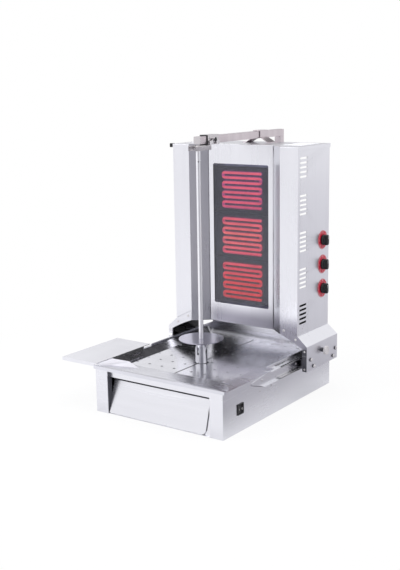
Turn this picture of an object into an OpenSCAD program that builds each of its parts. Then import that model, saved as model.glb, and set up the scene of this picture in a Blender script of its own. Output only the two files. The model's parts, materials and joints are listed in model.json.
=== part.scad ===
// Vertical kebab grill with a heater tower that slides on rails towards a driven spindle.
// Millimetres. Z runs up the spindle, Z = 0 is the table, and the front of the machine faces -Y.

/* [Base] */
// Width of the base box
base_w = 520; // [510:1:530]
// Depth of the base box, front to back
base_d = 700; // [690:1:720]
// Height of the base side walls
base_h = 150; // [146:1:154]
// Distance from the front face to the spindle axis
spindle_setback = 255; // [250:1:262]
// Thickness of the folded base and tower sheet
sheet_t = 2; // [1.5:0.25:2]
// Width of each front post beside the drawer opening
post_w = 51; // [47:1:53]
// Height of the side upstands above the walls
upstand_h = 24; // [20:1:26]
// Distance from the front face to the tip of the right upstand
upstand_start = 257; // [250:1:280]
// How far the right upstand's front end leans back below its tip
upstand_rake = 66; // [30:1:70]

/* [Drip pan and trays] */
// Thickness of the pan and tray sheet
pan_t = 2; // [1.5:0.25:2]
// Height of the bead along the front of the pan
lip_h = 11; // [8:1:12]
// How far the bead runs past the base on each side
lip_over = 7; // [3:1:7]
// Flat border of the pan around its slopes
rim_w = 10; // [9:1:13]
// Drop of the slopes from the border to the trays
slope_drop = 2; // [1:0.5:4]
// Width of the two trays together
tray_w = 400; // [396:1:410]
// Depth of the trays
tray_d = 490; // [484:1:494]
// Distance from the front face to the front edge of the trays
tray_setback = 105; // [100:1:110]
// Ledge that carries the edges of the trays
ledge_w = 10; // [8:1:12]
// Depth of the trough below the trays
trough_h = 26; // [22:1:28]
// Diameter of the drain holes in the trays
hole_d = 9; // [6:0.5:10]
// Spacing of the drain holes across the trays
hole_step_x = 52.3; // [50:0.1:52.5]
// Spacing of the drain holes along the trays
hole_step_y = 62.5; // [58:0.5:63]

/* [Grease drawer] */
// Width of the drawer front
drawer_w = 415; // [400:1:416]
// Height of the drawer front
drawer_h = 110; // [100:1:112]
// How far the drawer front leans back at the top
drawer_lean = 31; // [26:1:33]
// Depth of the drawer box
drawer_d = 142; // [120:1:145]

/* [Drive] */
// Diameter of the spindle
spindle_d = 15; // [13:0.5:16]
// Diameter of the pin at the top of the spindle
spindle_pin_d = 10; // [8:0.5:11]
// Diameter of the slotted drive socket
socket_d = 41; // [38:1:44]
// Height of the socket's upper rim above the base walls
socket_rise = 56; // [50:1:60]
// Diameter of the drive shaft
shaft_d = 20; // [18:1:22]
// Diameter of the meat disc
disc_d = 154; // [140:1:170]
// Height of the meat disc above the socket
disc_rise = 27; // [22:1:34]

/* [Tower] */
// Width of the heater tower
tower_w = 518; // [510:1:520]
// Distance from the spindle axis to the tower's front
tower_front = 207; // [200:1:215]
// Depth of the tower
tower_d = 223; // [215:1:228]
// Height of the tower's underside above the base walls
tower_rise = 81; // [79:1:86]
// Height of the tower
tower_h = 648; // [640:1:650]
// Width of the flat face of each column
column_face = 70; // [64:1:74]
// Depth of the recess between the columns
recess_d = 46; // [40:1:50]
// Width of the recessed front panel
panel_w = 268; // [262:1:270]
// Gap between the front panel and the columns
panel_gap = 3; // [2:0.5:4]
// Width of the glass window
window_w = 231; // [225:1:235]
// Height of the glass window
window_h = 510; // [500:1:515]
// Height of the window's lower edge above the tower's underside
window_rise = 69; // [64:1:74]

/* [Heating] */
// Diameter of the element tube
tube_d = 10; // [7:0.5:10.5]
// Overall width of an element
element_w = 168; // [150:1:180]
// Spacing of the runs of an element
run_step = 17.4; // [16.5:0.1:18]
// Spacing of the elements up the tower
element_step = 165; // [162:1:166]

/* [Controls] */
// Diameter of the dials
dial_d = 67; // [60:1:70]
// Diameter of the knobs
knob_d = 40; // [36:1:44]
// Height of the middle dial above the tower's underside
dial_rise = 226; // [218:1:234]
// Spacing of the dials
dial_step = 87; // [80:1:92]
// Distance from the tower's back to the dial centres
dial_inset = 45; // [42:1:50]
// Outer size of the switch frame
switch_size = 37; // [35:1:40]

/* [Carriage and rails] */
// Half the width across the carriage brackets
bracket_x = 297; // [294:1:300]
// Depth of a bracket's lower edge below the top of the base walls
bracket_drop = 42; // [40:1:46]
// Height of the bend between a bracket and its shoulder above the base walls
bracket_rise = 47; // [44:1:50]
// Width of a bracket's front flange
flange_w = 18; // [16:1:19]
// Radius of the arch under the tower
arch_r = 554; // [540:1:570]
// Height of the arch's crown above the tower's underside
arch_rise = 33; // [31:1:35]
// Height of a fixed rail
rail_h = 42; // [40:1:42]
// Depth of a fixed rail's channel
rail_w = 13; // [12:0.5:13.5]
// Depth of the rails' middle below the top of the base walls
rail_drop = 14; // [14:1:16]
// Distance from the spindle axis forward to the nose of a rail
rail_nose = 91; // [80:1:95]
// Diameter of the rail balls
ball_d = 4.4; // [4:0.1:4.4]

/* [Upper arm] */
// Side of the square arm tube
arm_w = 25; // [22:1:26]
// Wall of the square arm tube
arm_wall = 2.5; // [2:0.5:3]
// Gap between the tower's top and the bar
arm_gap = 16; // [15:1:21]
// Gap between the base's rear wall and the post
post_standoff = 64; // [60:1:75]
// Length of the holder's sleeve
sleeve_l = 65; // [55:1:70]
// Length of the holder's channel
channel_l = 126; // [115:1:130]

/* [Side shelf] */
// Width of the shelf plate
shelf_w = 149; // [120:1:170]
// Depth of the shelf plate
shelf_d = 295; // [280:1:300]
// Height of the shelf's folded edges
shelf_edge = 12; // [9:1:12]

/* [Fits] */
// Radial clearance of a turning shaft
running_fit = 0.05; // [0.02:0.01:0.1]
// Clearance of a sliding piece
sliding_fit = 0.6; // [0.4:0.1:0.8]

/* [Hidden] */
$fn = 64;

// Clear depth that a cutting body runs past the sheet it cuts
through = 5;

// Base
half_w = base_w / 2;
inner_w = half_w - sheet_t;
front_y = -spindle_setback;
rear_y = front_y + base_d;
wall_top = base_h + upstand_h;
post_return = 22;
front_rail_d = 16;
front_rail_h = 24;
drip_edge = 12;
drip_fall = 9;
hem_w = 5;
switch_y = front_y + 98;
switch_z = 0.51 * base_h;
gland_x = 180;
gland_z = 0.4 * base_h;
gland_d = 16;

// Pan and trays
rim_top = base_h + pan_t;
lip_top = base_h + lip_h;
lip_y = front_y + rim_w;
lip_run = 40;
tray_top = rim_top - slope_drop;
tray_bottom = tray_top - pan_t;
tray_y = front_y + tray_setback;
trough_z = tray_bottom - trough_h;
tray_slack = 0.5;
tray_gap = 2.4;
slope_out = [rim_w - half_w, front_y + rim_w, half_w - rim_w, rear_y - sheet_t - rim_w];
slope_in = [-tray_w / 2, tray_y, tray_w / 2, tray_y + tray_d];
trough_in = grow(slope_in, -ledge_w);
hole_x = 36;
hole_y = 40;
hole_columns = 4;
hole_rows = 8;
notch_d = socket_d + 8;
collar_d = 46;
collar_t = 2;
drain_w = 120;
drain_d = 24;
drain_y = trough_in[1] + 12;

// Drawer
drawer_t = 1.5;
drawer_front_y = front_y + 3;
drawer_z = sheet_t + 1;
drawer_box_y = drawer_front_y + drawer_lean + 6;
drawer_side = drawer_w / 2 - 4;
drawer_box_h = drawer_h - 14;
runner_h = 18;

// Drive
bridge_z = trough_z - pan_t - 33;
bridge_t = 4;
bridge_leg = 22;
bridge_x = 120;
bridge_front = drawer_box_y + drawer_d + 12;
bridge_rear = 110;
gearbox_w = 4.5 * shaft_d;
gearbox_l = 5.5 * shaft_d;
gearbox_r = 0.6 * shaft_d;
gearbox_h = 45;
gearbox_y = 0.75 * shaft_d;
gearbox_z = bridge_z - gearbox_h;
bearing_h = 19;
bearing_d = 3.1 * shaft_d;
bearing_w = 5 * shaft_d;
bearing_flange = 7;
motor_d = 2 * shaft_d;
motor_l = 6 * shaft_d;
motor_ring = 0.5 * shaft_d;
motor_y = gearbox_y + gearbox_l / 2 - motor_ring;
socket_top = base_h + socket_rise;
socket_z = tray_bottom - 4;
socket_floor = tray_top + 17;
spindle_seat = tray_top + 2;
socket_bore = socket_d - 11;
slot_w = 9;
slot_h = 26;
pin_d = 8;
pin_z = socket_top - slot_h / 2;
pin_fit = 0.1;
disc_z = socket_top + disc_rise;
disc_t = 3;
hub_d = 30;

// Tower
tower_x = tower_w / 2;
tower_z = base_h + tower_rise;
tower_back_y = tower_front + tower_d;
tower_top_z = tower_z + tower_h;
column_top = tower_top_z - sheet_t;
face_x = tower_x - column_face;
panel_y = tower_front + recess_d;
panel_x = panel_w / 2;
slant_x = panel_x + panel_gap;
panel_top = tower_top_z - 13;
panel_return = 15;
window_z = tower_z + window_rise;
window_r = 6;
vent_l = 48;
vent_h = 7;
vent_step = 15.5;
vents = 5;
vent_groups = 5;
vent_y = tower_front + 39;
vent_first = tower_z + 72;
vent_group_step = 126.6;
cover_drop = 13;
cover_t = 1.5;
cover_over = 3;
glass_t = 4;
glass_lap = 7;
back_strip = 100;
back_edge = 10;
back_sill = 80;
back_head = 40;

// Heating
glass_back = panel_y + cover_t + glass_t;
element_y = glass_back + tube_d / 2 + 0.6;
board_y = element_y + tube_d / 2 + 0.3;
board_t = 24;
element_z = window_z + window_h / 2 - 3;
runs = 8;
housing_t = 1.5;
housing_x = panel_x - 10;

// Controls
dial_y = tower_back_y - dial_inset;
dial_z = tower_z + dial_rise;
dial_t = 1.2;
bush_d = 10;
bush_fit = 0.4;
knob_shaft_d = 6;
knob_h = 21;
knob_skirt = 7;
knob_gap = 0.6;
grip_w = 13;
regulator_w = 44;
regulator_d = 38;
rocker_half = 12.5;
rocker_throw = 7;
rocker_pivot = half_w - 3;
pivot_d = 4;

// Carriage and rails
bracket_y = tower_front + 1;
bracket_back = tower_back_y + 2;
bracket_z = base_h - bracket_drop;
bracket_top = base_h + bracket_rise;
arch_z = tower_z + arch_rise - arch_r;
seam_rise = 36;
skirt_x = tower_x - 6;
skirt_z = wall_top + 3;
seam_gap = 0.5;
gusset_x = face_x + 3;
flange_r = 9;
rail_t = 1.5;
rail_z = base_h - rail_drop;
rail_rear = rear_y - 5;
ball_gap = ball_d + 0.6;
rail_inner_h = rail_h - 2 * rail_t - 2 * ball_gap;
rail_inner_x = half_w + rail_w + 2;
rail_inner_lap = 12;
strip_y = 75;
strip_l = 300;
strip_w = 10;
strip_t = 1.2;
ball_step = 15;
ball_windows = 9;
spacer_d = 48;
spacer_h = 38;
rivet_d = 7;
bolt_d = 0.7 * rail_w;
thumb_y = tower_front + 109;
thumb_z = base_h + 14;
thumb_d = 8;
thumb_knob_d = 30;
thumb_knob_h = 10;
thumb_reach = 15;

// Arm and holder
arm_x = arm_w / 2;
arm_z = tower_top_z + arm_gap;
arm_top = arm_z + arm_w;
bar_front = -4;
post_y = rear_y + post_standoff;
post_rear = post_y + arm_w;
post_foot_z = base_h / 6;
foot_w = 4.8 * arm_w;
foot_t = 0.2 * arm_w;
foot_r = 8;
cheek_t = 4;
cheek_taper = 0.8 * arm_w;
cap_t = 3;
sleeve_y = 34;
sleeve_t = 3;
sleeve_x = arm_x + sliding_fit + sleeve_t;
sleeve_z = arm_z - sliding_fit - sleeve_t;
channel_y = sleeve_y + 20 - channel_l;
channel_h = 17;
pin_slot = spindle_pin_d + 0.8;
spindle_top = sleeve_z - sleeve_t - 2;
wing_y = sleeve_y + 30;
wing_z = arm_z + arm_w / 2;
wing_d = 8;
guide_t = 2.5;
guide_y = tower_back_y - 68;
guide_l = 50;
guide_foot = 14;
guide_spread = 46;
guide_knee = 3;

// Shelf
shelf_x = -half_w - lip_over - 1;
shelf_y = front_y + 5;
shelf_t = 2;
left_top = lip_top + 3 * shelf_t;
shelf_z = left_top;
hook_x = -half_w - 0.4;
left_upstand_y = shelf_y + shelf_d + 4;
prop_z = base_h - 60;
prop_front = shelf_y + 8;
prop_rear = -rail_nose - 12;
apron_x = -tray_w / 2 - 8;
apron_z = tray_top + 5;
apron_front = shelf_y + 77;
apron_skew = 29;
apron_tip = apron_front + 111;
apron_rear = apron_front + 182;
apron_slot = [0.58 * apron_x + 0.42 * hook_x, apron_tip - 12, 45, 8];

// Unit vector along v
function unit(v) = v / norm(v);
// Unit vector to the left of the way from a to b
function left_of(a, b) = let (d = unit(b - a)) [-d[1], d[0]];
// Sideways step per millimetre at a corner between two left-hand normals
function mitre(m, n) = (m + n) / (1 + m * n);
// Sideways step per millimetre at point i of the path p
function side_step(p, i) = i == 0 ? left_of(p[0], p[1])
    : i == len(p) - 1 ? left_of(p[i - 1], p[i])
    : mitre(left_of(p[i - 1], p[i]), left_of(p[i], p[i + 1]));
// Outline of a sheet of thickness t that lies on the left of the bent path p
function strip(p, t) = concat(p, [for (i = [len(p) - 1 : -1 : 0]) p[i] + t * side_step(p, i)]);
// Rectangle [x0, y0, x1, y1] made larger by d on every side
function grow(r, d) = [r[0] - d, r[1] - d, r[2] + d, r[3] + d];

module block(low, high) {
    translate(low) cube(high - low);
}

module along_x(x, length) {
    translate([x, 0, 0]) rotate([90, 0, 90]) linear_extrude(length) children();
}

module along_y(y, length) {
    translate([0, y + length, 0]) rotate([90, 0, 0]) linear_extrude(length) children();
}

module along_z(z, length) {
    translate([0, 0, z]) linear_extrude(length) children();
}

// Round bar along X at (y, z), from x0 to x1
module rod_x(x0, x1, y, z, d) {
    translate([x0, y, z]) rotate([0, 90, 0]) cylinder(d = d, h = x1 - x0);
}

// Round bar along Y at (x, z), from y0 to y1
module rod_y(y0, y1, x, z, d) {
    translate([x, y0, z]) rotate([-90, 0, 0]) cylinder(d = d, h = y1 - y0);
}

module both_sides() {
    children();
    mirror([1, 0, 0]) children();
}

module rect(r) {
    translate([r[0], r[1]]) square([r[2] - r[0], r[3] - r[1]]);
}

// Flat slot with round ends, long in the first direction
module slot(length, width) {
    square([length - width, width], center = true);
    for (s = [-1, 1]) translate([s * (length - width) / 2, 0]) circle(d = width);
}

// Rectangle with round corners, centred
module round_rect(w, h, r) {
    square([w - 2 * r, h], center = true);
    square([w, h - 2 * r], center = true);
    for (x = [-1, 1], y = [-1, 1]) translate([x * (w / 2 - r), y * (h / 2 - r)]) circle(r = r);
}

// Sheet of thickness t for the slopes from the trays' edge to the border, high at the front and left
module slopes(inside, outside, z_in, z_low, z_high, run, t) {
    upper = [[inside[0], inside[1], z_in], [inside[2], inside[1], z_in], [inside[2], inside[3], z_in],
        [inside[0], inside[3], z_in], [outside[0], outside[1], z_high], [outside[2], outside[1], z_high],
        [outside[2], outside[1] + run, z_low], [outside[2], outside[3], z_low], [outside[0], outside[3],
            z_low],
        [outside[0], outside[3] - run, z_high]];
    lower = [for (p = upper) p - [0, 0, t]];
    n = len(upper);
    top = [[0, 1, 5, 4], [1, 6, 5], [1, 2, 7, 6], [2, 3, 8, 7], [3, 9, 8], [3, 0, 4, 9]];
    bottom = [for (f = top) [for (i = [len(f) - 1 : -1 : 0]) f[i] + n]];
    rim = [for (i = [4 : 9]) let (j = i == 9 ? 4 : i + 1) [i, j, j + n, i + n]];
    hole = [for (i = [0 : 3]) let (j = (i + 1) % 4) [j, i, i + n, j + n]];
    polyhedron(concat(upper, lower), concat(top, bottom, rim, hole));
}

// Screw head with a domed top that rises along Z
module dome(d, h) {
    radius = (d * d / 4 + h * h) / (2 * h);
    intersection() {
        translate([0, 0, h - radius]) sphere(r = radius);
        cylinder(d = d, h = h);
    }
}

// Side wall with its upstand and the folded edge on top, for the right-hand side
module side_wall(low_top, high_top, tip, rake, edge, fall) {
    along_x(inner_w, sheet_t) polygon([[front_y, 0], [rear_y, 0], [rear_y, high_top], [tip, high_top],
        [tip + rake, low_top], [front_y, low_top]]);
    along_y(tip + rake, rear_y - tip - rake) polygon([[half_w, high_top], [half_w, high_top - sheet_t],
        [half_w - edge, high_top - fall - sheet_t], [half_w - edge, high_top - fall]]);
}

module front_post() {
    block([half_w - post_w, front_y, 0], [half_w, front_y + sheet_t, base_h]);
    block([half_w - post_w, front_y, 0], [half_w - post_w + sheet_t, front_y + post_return, base_h]);
}

module base_shell() {
    rail_y = front_y + front_rail_d;
    cut = switch_size - 5;
    color("gainsboro") difference() {
        union() {
            side_wall(base_h, wall_top, front_y + upstand_start, upstand_rake, drip_edge, drip_fall);
            mirror([1, 0, 0]) side_wall(lip_top - pan_t, left_top, left_upstand_y, 0, hem_w, 0);
            block([-inner_w, rear_y - sheet_t, 0], [inner_w, rear_y, wall_top]);
            both_sides() front_post();
            along_x(-inner_w, 2 * inner_w)
                polygon(strip([[rail_y, base_h - front_rail_h], [rail_y, base_h], [front_y, base_h]],
                    sheet_t));
        }
        translate([half_w, switch_y, switch_z]) cube([2 * through, cut, cut], center = true);
        rod_y(rear_y - through, rear_y + through, gland_x, gland_z, gland_d + 2 * pin_fit);
    }
}

module base_floor() {
    color("silver") difference() {
        block([-inner_w, front_y + sheet_t, 0], [inner_w, rear_y - sheet_t, sheet_t]);
        for (x = [-2 : 2], y = [0 : 3]) translate([x * 60, rear_y - 80 - y * 22, -through])
            linear_extrude(2 * through + sheet_t) slot(46, 8);
        along_z(-through, 2 * through) both_sides() rect([half_w - post_w, front_y, inner_w,
            front_y + post_return]);
    }
}

// Folded bead along the front of the pan, with closed ends
module front_bead() {
    fall = (lip_top - tray_top) / (tray_y - lip_y);
    end_x = half_w + lip_over;
    along_x(-end_x, 2 * end_x) polygon(strip([[lip_y + pan_t, lip_top - fall * pan_t], [lip_y, lip_top],
        [front_y - pan_t, lip_top], [front_y - pan_t, base_h]], pan_t));
    both_sides() block([end_x - pan_t, front_y - pan_t, base_h], [end_x, lip_y, lip_top]);
    block([-end_x, lip_y - pan_t, base_h], [-half_w - tray_slack, lip_y, lip_top]);
    block([half_w - rim_w - pan_t, lip_y - pan_t, base_h], [end_x, lip_y, lip_top]);
    along_x(half_w - rim_w - pan_t, pan_t) polygon([[lip_y - pan_t, rim_top - pan_t / 2], [lip_y - pan_t,
        lip_top],
        [lip_y, lip_top], [lip_y + lip_run, rim_top], [lip_y + lip_run, rim_top - pan_t / 2]]);
}

module drip_pan() {
    color("silver") difference() {
        union() {
            difference() {
                along_z(base_h, pan_t) union() {
                    rect([tray_slack - inner_w, front_y, half_w, left_upstand_y]);
                    rect(grow([-inner_w, 0, inner_w, rear_y - sheet_t], -tray_slack));
                }
                along_z(base_h - through, 3 * through) rect(slope_out);
                block([inner_w - tray_slack, front_y + upstand_start - tray_slack, base_h - through],
                    [half_w + through, rear_y, base_h + through]);
            }
            slopes(slope_in, slope_out, tray_top, rim_top, lip_top, lip_run, pan_t);
            front_bead();
            along_z(lip_top - pan_t, pan_t) union() {
                rect([-half_w, front_y, slope_out[0], left_upstand_y - 2 * tray_slack]);
                rect([tray_slack - inner_w, front_y, slope_out[0], rear_y - sheet_t - tray_slack]);
            }
            block([slope_out[0] - pan_t, slope_out[3] - lip_run, base_h],
                [slope_out[0], rear_y - sheet_t - tray_slack, lip_top]);
            along_z(tray_bottom - pan_t, 1.5 * pan_t) difference() {
                rect(grow(slope_in, pan_t));
                rect(slope_in);
            }
            along_z(tray_bottom - pan_t, pan_t) difference() {
                rect(grow(slope_in, pan_t));
                rect(trough_in);
            }
            difference() {
                along_z(trough_z - pan_t, trough_h + pan_t) rect(grow(trough_in, pan_t));
                along_z(trough_z, trough_h + through) rect(trough_in);
            }
            cylinder_at(trough_z, trough_h - 6, collar_d);
        }
        cylinder_at(trough_z - through, trough_h + 2 * through, collar_d - 2 * collar_t);
        translate([0, drain_y + drain_d / 2, trough_z - through]) linear_extrude(2 * through) slot(drain_w,
            drain_d);
    }
}

// Upright cylinder on the spindle axis
module cylinder_at(z, h, d) {
    translate([0, 0, z]) cylinder(d = d, h = h);
}

module tray_plate() {
    color("whitesmoke") difference() {
        along_z(tray_bottom, pan_t)
            rect([tray_gap / 2, tray_y + tray_slack, tray_w / 2 - tray_slack, tray_y + tray_d - tray_slack]);
        cylinder_at(tray_bottom - through, 3 * through, notch_d);
        for (i = [0 : hole_columns - 1], j = [0 : hole_rows - 1])
            translate([hole_x + i * hole_step_x, tray_y + hole_y + j * hole_step_y, tray_bottom - through])
                cylinder(d = hole_d, h = 3 * through);
    }
}

module tray_right() {
    tray_plate();
}

module tray_left() {
    mirror([1, 0, 0]) tray_plate();
}

module drawer_runners() {
    wall_x = drawer_side + sliding_fit;
    color("darkgray") both_sides() along_y(drawer_box_y, drawer_d)
        polygon(strip([[wall_x - 14, sheet_t], [wall_x + 1, sheet_t], [wall_x + 1, sheet_t + runner_h]],
            drawer_z - sheet_t));
}

module drawer_box() {
    color("lightgray") difference() {
        block([-drawer_side, drawer_box_y, drawer_z], [drawer_side, drawer_box_y + drawer_d,
            drawer_z + drawer_box_h]);
        block([drawer_t - drawer_side, drawer_box_y + drawer_t, drawer_z + drawer_t],
            [drawer_side - drawer_t, drawer_box_y + drawer_d - drawer_t, drawer_z + drawer_box_h + through]);
    }
}

module drawer_front() {
    top_z = drawer_z + drawer_h;
    top_y = drawer_front_y + drawer_lean;
    sheet = [[drawer_box_y, drawer_z], [drawer_front_y, drawer_z], [top_y, top_z], [drawer_box_y, top_z + 2]];
    cheek = [[drawer_box_y, drawer_z], [drawer_front_y, drawer_z], [top_y, top_z], [drawer_box_y, top_z + 2],
        [drawer_box_y, drawer_z]];
    color("gainsboro") {
        along_x(-drawer_w / 2, drawer_w) polygon(strip([sheet[3], sheet[2], sheet[1], sheet[0]], drawer_t));
        both_sides() along_x(drawer_w / 2 - drawer_t, drawer_t) polygon(cheek);
    }
}

module gear_motor() {
    axis_z = gearbox_z + gearbox_h / 2;
    color("dimgray") difference() {
        union() {
            along_z(gearbox_z, gearbox_h) translate([0, gearbox_y]) round_rect(gearbox_w, gearbox_l,
                gearbox_r);
            rod_y(motor_y, motor_y + motor_l, 0, axis_z, motor_d);
            for (y = [motor_y + motor_ring, motor_y + motor_l - motor_ring])
                rod_y(y, y + motor_ring, 0, axis_z, motor_d + 4);
        }
        cylinder_at(gearbox_z + 4, gearbox_h, shaft_d + 2 * running_fit);
    }
}

module motor_bridge() {
    top = bridge_z + bridge_t;
    foot = bridge_x - bridge_leg;
    color("darkgray") difference() {
        along_y(bridge_front, bridge_rear - bridge_front) polygon(strip([[foot, sheet_t], [bridge_x, sheet_t],
            [bridge_x, top], [-bridge_x, top], [-bridge_x, sheet_t], [-foot, sheet_t]], bridge_t));
        cylinder_at(bridge_z - through, 4 * through, shaft_d + 10);
    }
}

module socket_bearing() {
    base_z = bridge_z + bridge_t;
    color("slategray") difference() {
        union() {
            along_z(base_z, bearing_flange) round_rect(bearing_w, 2 * shaft_d, 0.7 * shaft_d);
            cylinder_at(base_z, bearing_flange, bearing_d);
            cylinder_at(base_z, bearing_h, bearing_d - shaft_d);
        }
        cylinder_at(base_z - through, bearing_h + 2 * through, shaft_d + 2 * running_fit);
    }
}

module drive_socket() {
    color("silver") difference() {
        union() {
            cylinder_at(gearbox_z + 5, socket_z - gearbox_z, shaft_d);
            cylinder_at(socket_z, socket_top - socket_z, socket_d);
        }
        cylinder_at(socket_floor, socket_top, socket_bore);
        cylinder_at(spindle_seat, socket_top, spindle_d + 2 * pin_fit);
        for (a = [0, 90]) rotate([0, 0, a])
            block([-socket_d, -slot_w / 2, socket_top - slot_h], [socket_d, slot_w / 2,
                socket_top + through]);
    }
}

module spindle() {
    hole_z = spindle_top - 48;
    shoulder_z = sleeve_z - sleeve_t - 8;
    color("silver") difference() {
        union() {
            cylinder_at(spindle_seat, shoulder_z - spindle_seat, spindle_d);
            cylinder_at(shoulder_z - 1, sleeve_z + 1 - shoulder_z, spindle_pin_d);
        }
        rod_x(-spindle_d, spindle_d, 0, hole_z, spindle_d / 3);
        rod_x(-spindle_d, spindle_d, 0, pin_z, pin_d + 2 * pin_fit);
    }
}

module cross_pin() {
    color("gray") rod_x(-socket_d / 2, socket_d / 2, 0, pin_z, pin_d);
}

module disc_hub() {
    color("silver") difference() {
        union() {
            cylinder_at(socket_top, disc_z - socket_top, hub_d - 8);
            cylinder_at(socket_top, 8, hub_d + 4);
            cylinder_at(disc_z - 6, 6, hub_d + 4);
        }
        cylinder_at(socket_top - through, disc_z, spindle_d + 2 * pin_fit);
    }
}

module meat_disc() {
    color("gainsboro") difference() {
        cylinder_at(disc_z, disc_t, disc_d);
        cylinder_at(disc_z - through, 3 * through, spindle_d + 2 * pin_fit);
    }
}

// C-shaped rail on the right wall with a nose that tapers to its front end
module rail_fixed() {
    low = rail_z - rail_h / 2;
    high = rail_z + rail_h / 2;
    color("lightgray") difference() {
        along_y(-rail_nose, rail_rear + rail_nose) polygon(strip([[half_w + rail_w, high], [half_w, high],
            [half_w, low], [half_w + rail_w, low]], rail_t));
        for (i = [0 : ball_windows - 1]) translate([half_w + rail_w / 2, strip_y + (i + 0.5) * ball_step,
            high])
            cube([rail_w / 2, ball_step / 2, rail_w], center = true);
        along_x(half_w - through, rail_w + 2 * through) {
            polygon([[-rail_nose - 1, rail_z + 6], [rail_nose / 3, high], [rail_nose / 3, high + 1],
                [-rail_nose - 1, high + 1]]);
            polygon([[-rail_nose - 1, rail_z], [-rail_nose - 1, low - 1], [-rail_nose / 4, low - 1],
                [-rail_nose / 4, low]]);
        }
    }
}

module rail_fixed_right() {
    rail_fixed();
}

module rail_fixed_left() {
    mirror([1, 0, 0]) rail_fixed();
}

// Inner rail that faces the fixed one across two rows of balls
module rail_moving() {
    low = rail_z - rail_inner_h / 2;
    high = rail_z + rail_inner_h / 2;
    lip = rail_inner_x - rail_inner_lap;
    color("silver") along_y(bracket_y + 2, bracket_back - bracket_y - 2) polygon(strip([[lip, low],
        [rail_inner_x, low],
        [rail_inner_x, high], [lip, high]], rail_t));
}

module rail_moving_right() {
    rail_moving();
}

module rail_moving_left() {
    mirror([1, 0, 0]) rail_moving();
}

// Two caged rows of balls, one above and one below the inner rail
module ball_strip() {
    middle = half_w + rail_t + 1 + strip_w / 2;
    count = floor(strip_l / ball_step);
    color("dimgray") for (s = [-1, 1]) {
        z = rail_z + s * (rail_inner_h + ball_gap) / 2;
        translate([middle, strip_y + strip_l / 2, z]) cube([strip_w, strip_l, strip_t], center = true);
        for (i = [0 : count - 1]) translate([middle, strip_y + ball_step * (i + 0.5), z]) sphere(d = ball_d);
    }
}

module ball_strip_right() {
    ball_strip();
}

module ball_strip_left() {
    mirror([1, 0, 0]) ball_strip();
}

module rail_spacers() {
    bracket_in = bracket_x - sheet_t;
    color("darkgray") both_sides() for (y = [bracket_y + 10, bracket_back - 10 - spacer_d])
        block([rail_inner_x, y, rail_z - spacer_h / 2 - 1], [bracket_in, y + spacer_d,
            rail_z + spacer_h / 2 - 1]);
}

// Bracket, shoulder, front flange and arch gusset of one side, folded and welded from sheet
module carriage_side() {
    floor_z = tower_z - sheet_t;
    slope = unit([tower_x - bracket_x, floor_z - bracket_top]);
    above = [tower_x, floor_z] + 20 * slope;
    flange_x = bracket_x - flange_w;
    color("lightgray") difference() {
        union() {
            difference() {
                along_y(bracket_y, bracket_back - bracket_y)
                    polygon(strip([[bracket_x, bracket_z], [bracket_x, bracket_top], above], sheet_t));
                block([0, bracket_y - through, floor_z], [bracket_x, bracket_back + through, floor_z + 40]);
            }
            along_y(tower_front, sheet_t) difference() {
                polygon([[gusset_x, tower_z - 60], [gusset_x, tower_z + seam_rise - 1], [tower_x, tower_z],
                    [bracket_x, bracket_top], [bracket_x, bracket_top - 60]]);
                translate([0, arch_z]) circle(r = arch_r, $fn = 128);
            }
            along_y(tower_front, sheet_t) {
                rect([flange_x, bracket_z + flange_r, bracket_x, bracket_top - 6]);
                rect([flange_x + flange_r, bracket_z, bracket_x, bracket_top - 6]);
                translate([flange_x + flange_r, bracket_z + flange_r]) circle(r = flange_r);
            }
        }
        rod_x(bracket_x - through, bracket_x + through, thumb_y, thumb_z, thumb_d + 2 * running_fit);
    }
}

module carriage_right() {
    carriage_side();
}

module carriage_left() {
    mirror([1, 0, 0]) carriage_side();
}

// Plan of the tower: two columns with slanted inner faces and a recess between them
module tower_plan(front, back) {
    polygon([[-tower_x, front], [-face_x, front], [-slant_x, panel_y], [slant_x, panel_y], [face_x, front],
        [tower_x, front], [tower_x, back], [-tower_x, back]]);
}

// Floor of the tower, with a skirt at the back that reaches down to the base's rear wall
module carriage_floor() {
    color("gray") difference() {
        union() {
            along_z(tower_z - sheet_t, sheet_t) tower_plan(tower_front + sheet_t, tower_back_y);
            block([-skirt_x, tower_back_y - sheet_t, skirt_z], [skirt_x, tower_back_y, tower_z - sheet_t / 2]);
        }
        for (x = [-3 : 3]) translate([x * 50, tower_back_y - 60, tower_z - through])
            linear_extrude(2 * through) rotate(90) slot(70, 8);
    }
}

// Folded column of one side: outer wall, flat face and slanted inner face
module column_shell() {
    back = tower_back_y - sheet_t;
    seam = tower_z + seam_rise;
    difference() {
        along_z(tower_z, column_top - tower_z) polygon(strip([[slant_x, panel_y], [face_x, tower_front],
            [tower_x, tower_front], [tower_x, back]], sheet_t));
        along_y(tower_front - through, through + sheet_t) polygon([[gusset_x - seam_gap, tower_z - 1],
            [gusset_x - seam_gap, seam], [tower_x + 1, tower_z + seam_gap], [tower_x + 1, tower_z - 1]]);
        for (g = [0 : vent_groups - 1], i = [0 : vents - 1])
            along_x(tower_x - through, 2 * through)
                translate([vent_y, vent_first + g * vent_group_step + (i - (vents - 1) / 2) * vent_step])
                    slot(vent_l, vent_h);
    }
}

module column_right() {
    color("lightgray") difference() {
        column_shell();
        for (i = [-1 : 1]) rod_x(tower_x - through, tower_x + through, dial_y, dial_z + i * dial_step,
            bush_d + 2 * bush_fit);
    }
}

module column_left() {
    color("gainsboro") mirror([1, 0, 0]) column_shell();
}

// Back sheet with one large opening behind each column
module tower_back() {
    color("lightgray") difference() {
        block([-tower_x, tower_back_y - sheet_t, tower_z], [tower_x, tower_back_y, column_top]);
        along_y(tower_back_y - through, 2 * through) both_sides()
            rect([back_strip, tower_z + back_sill, tower_x - back_edge, column_top - back_head]);
    }
}

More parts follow.
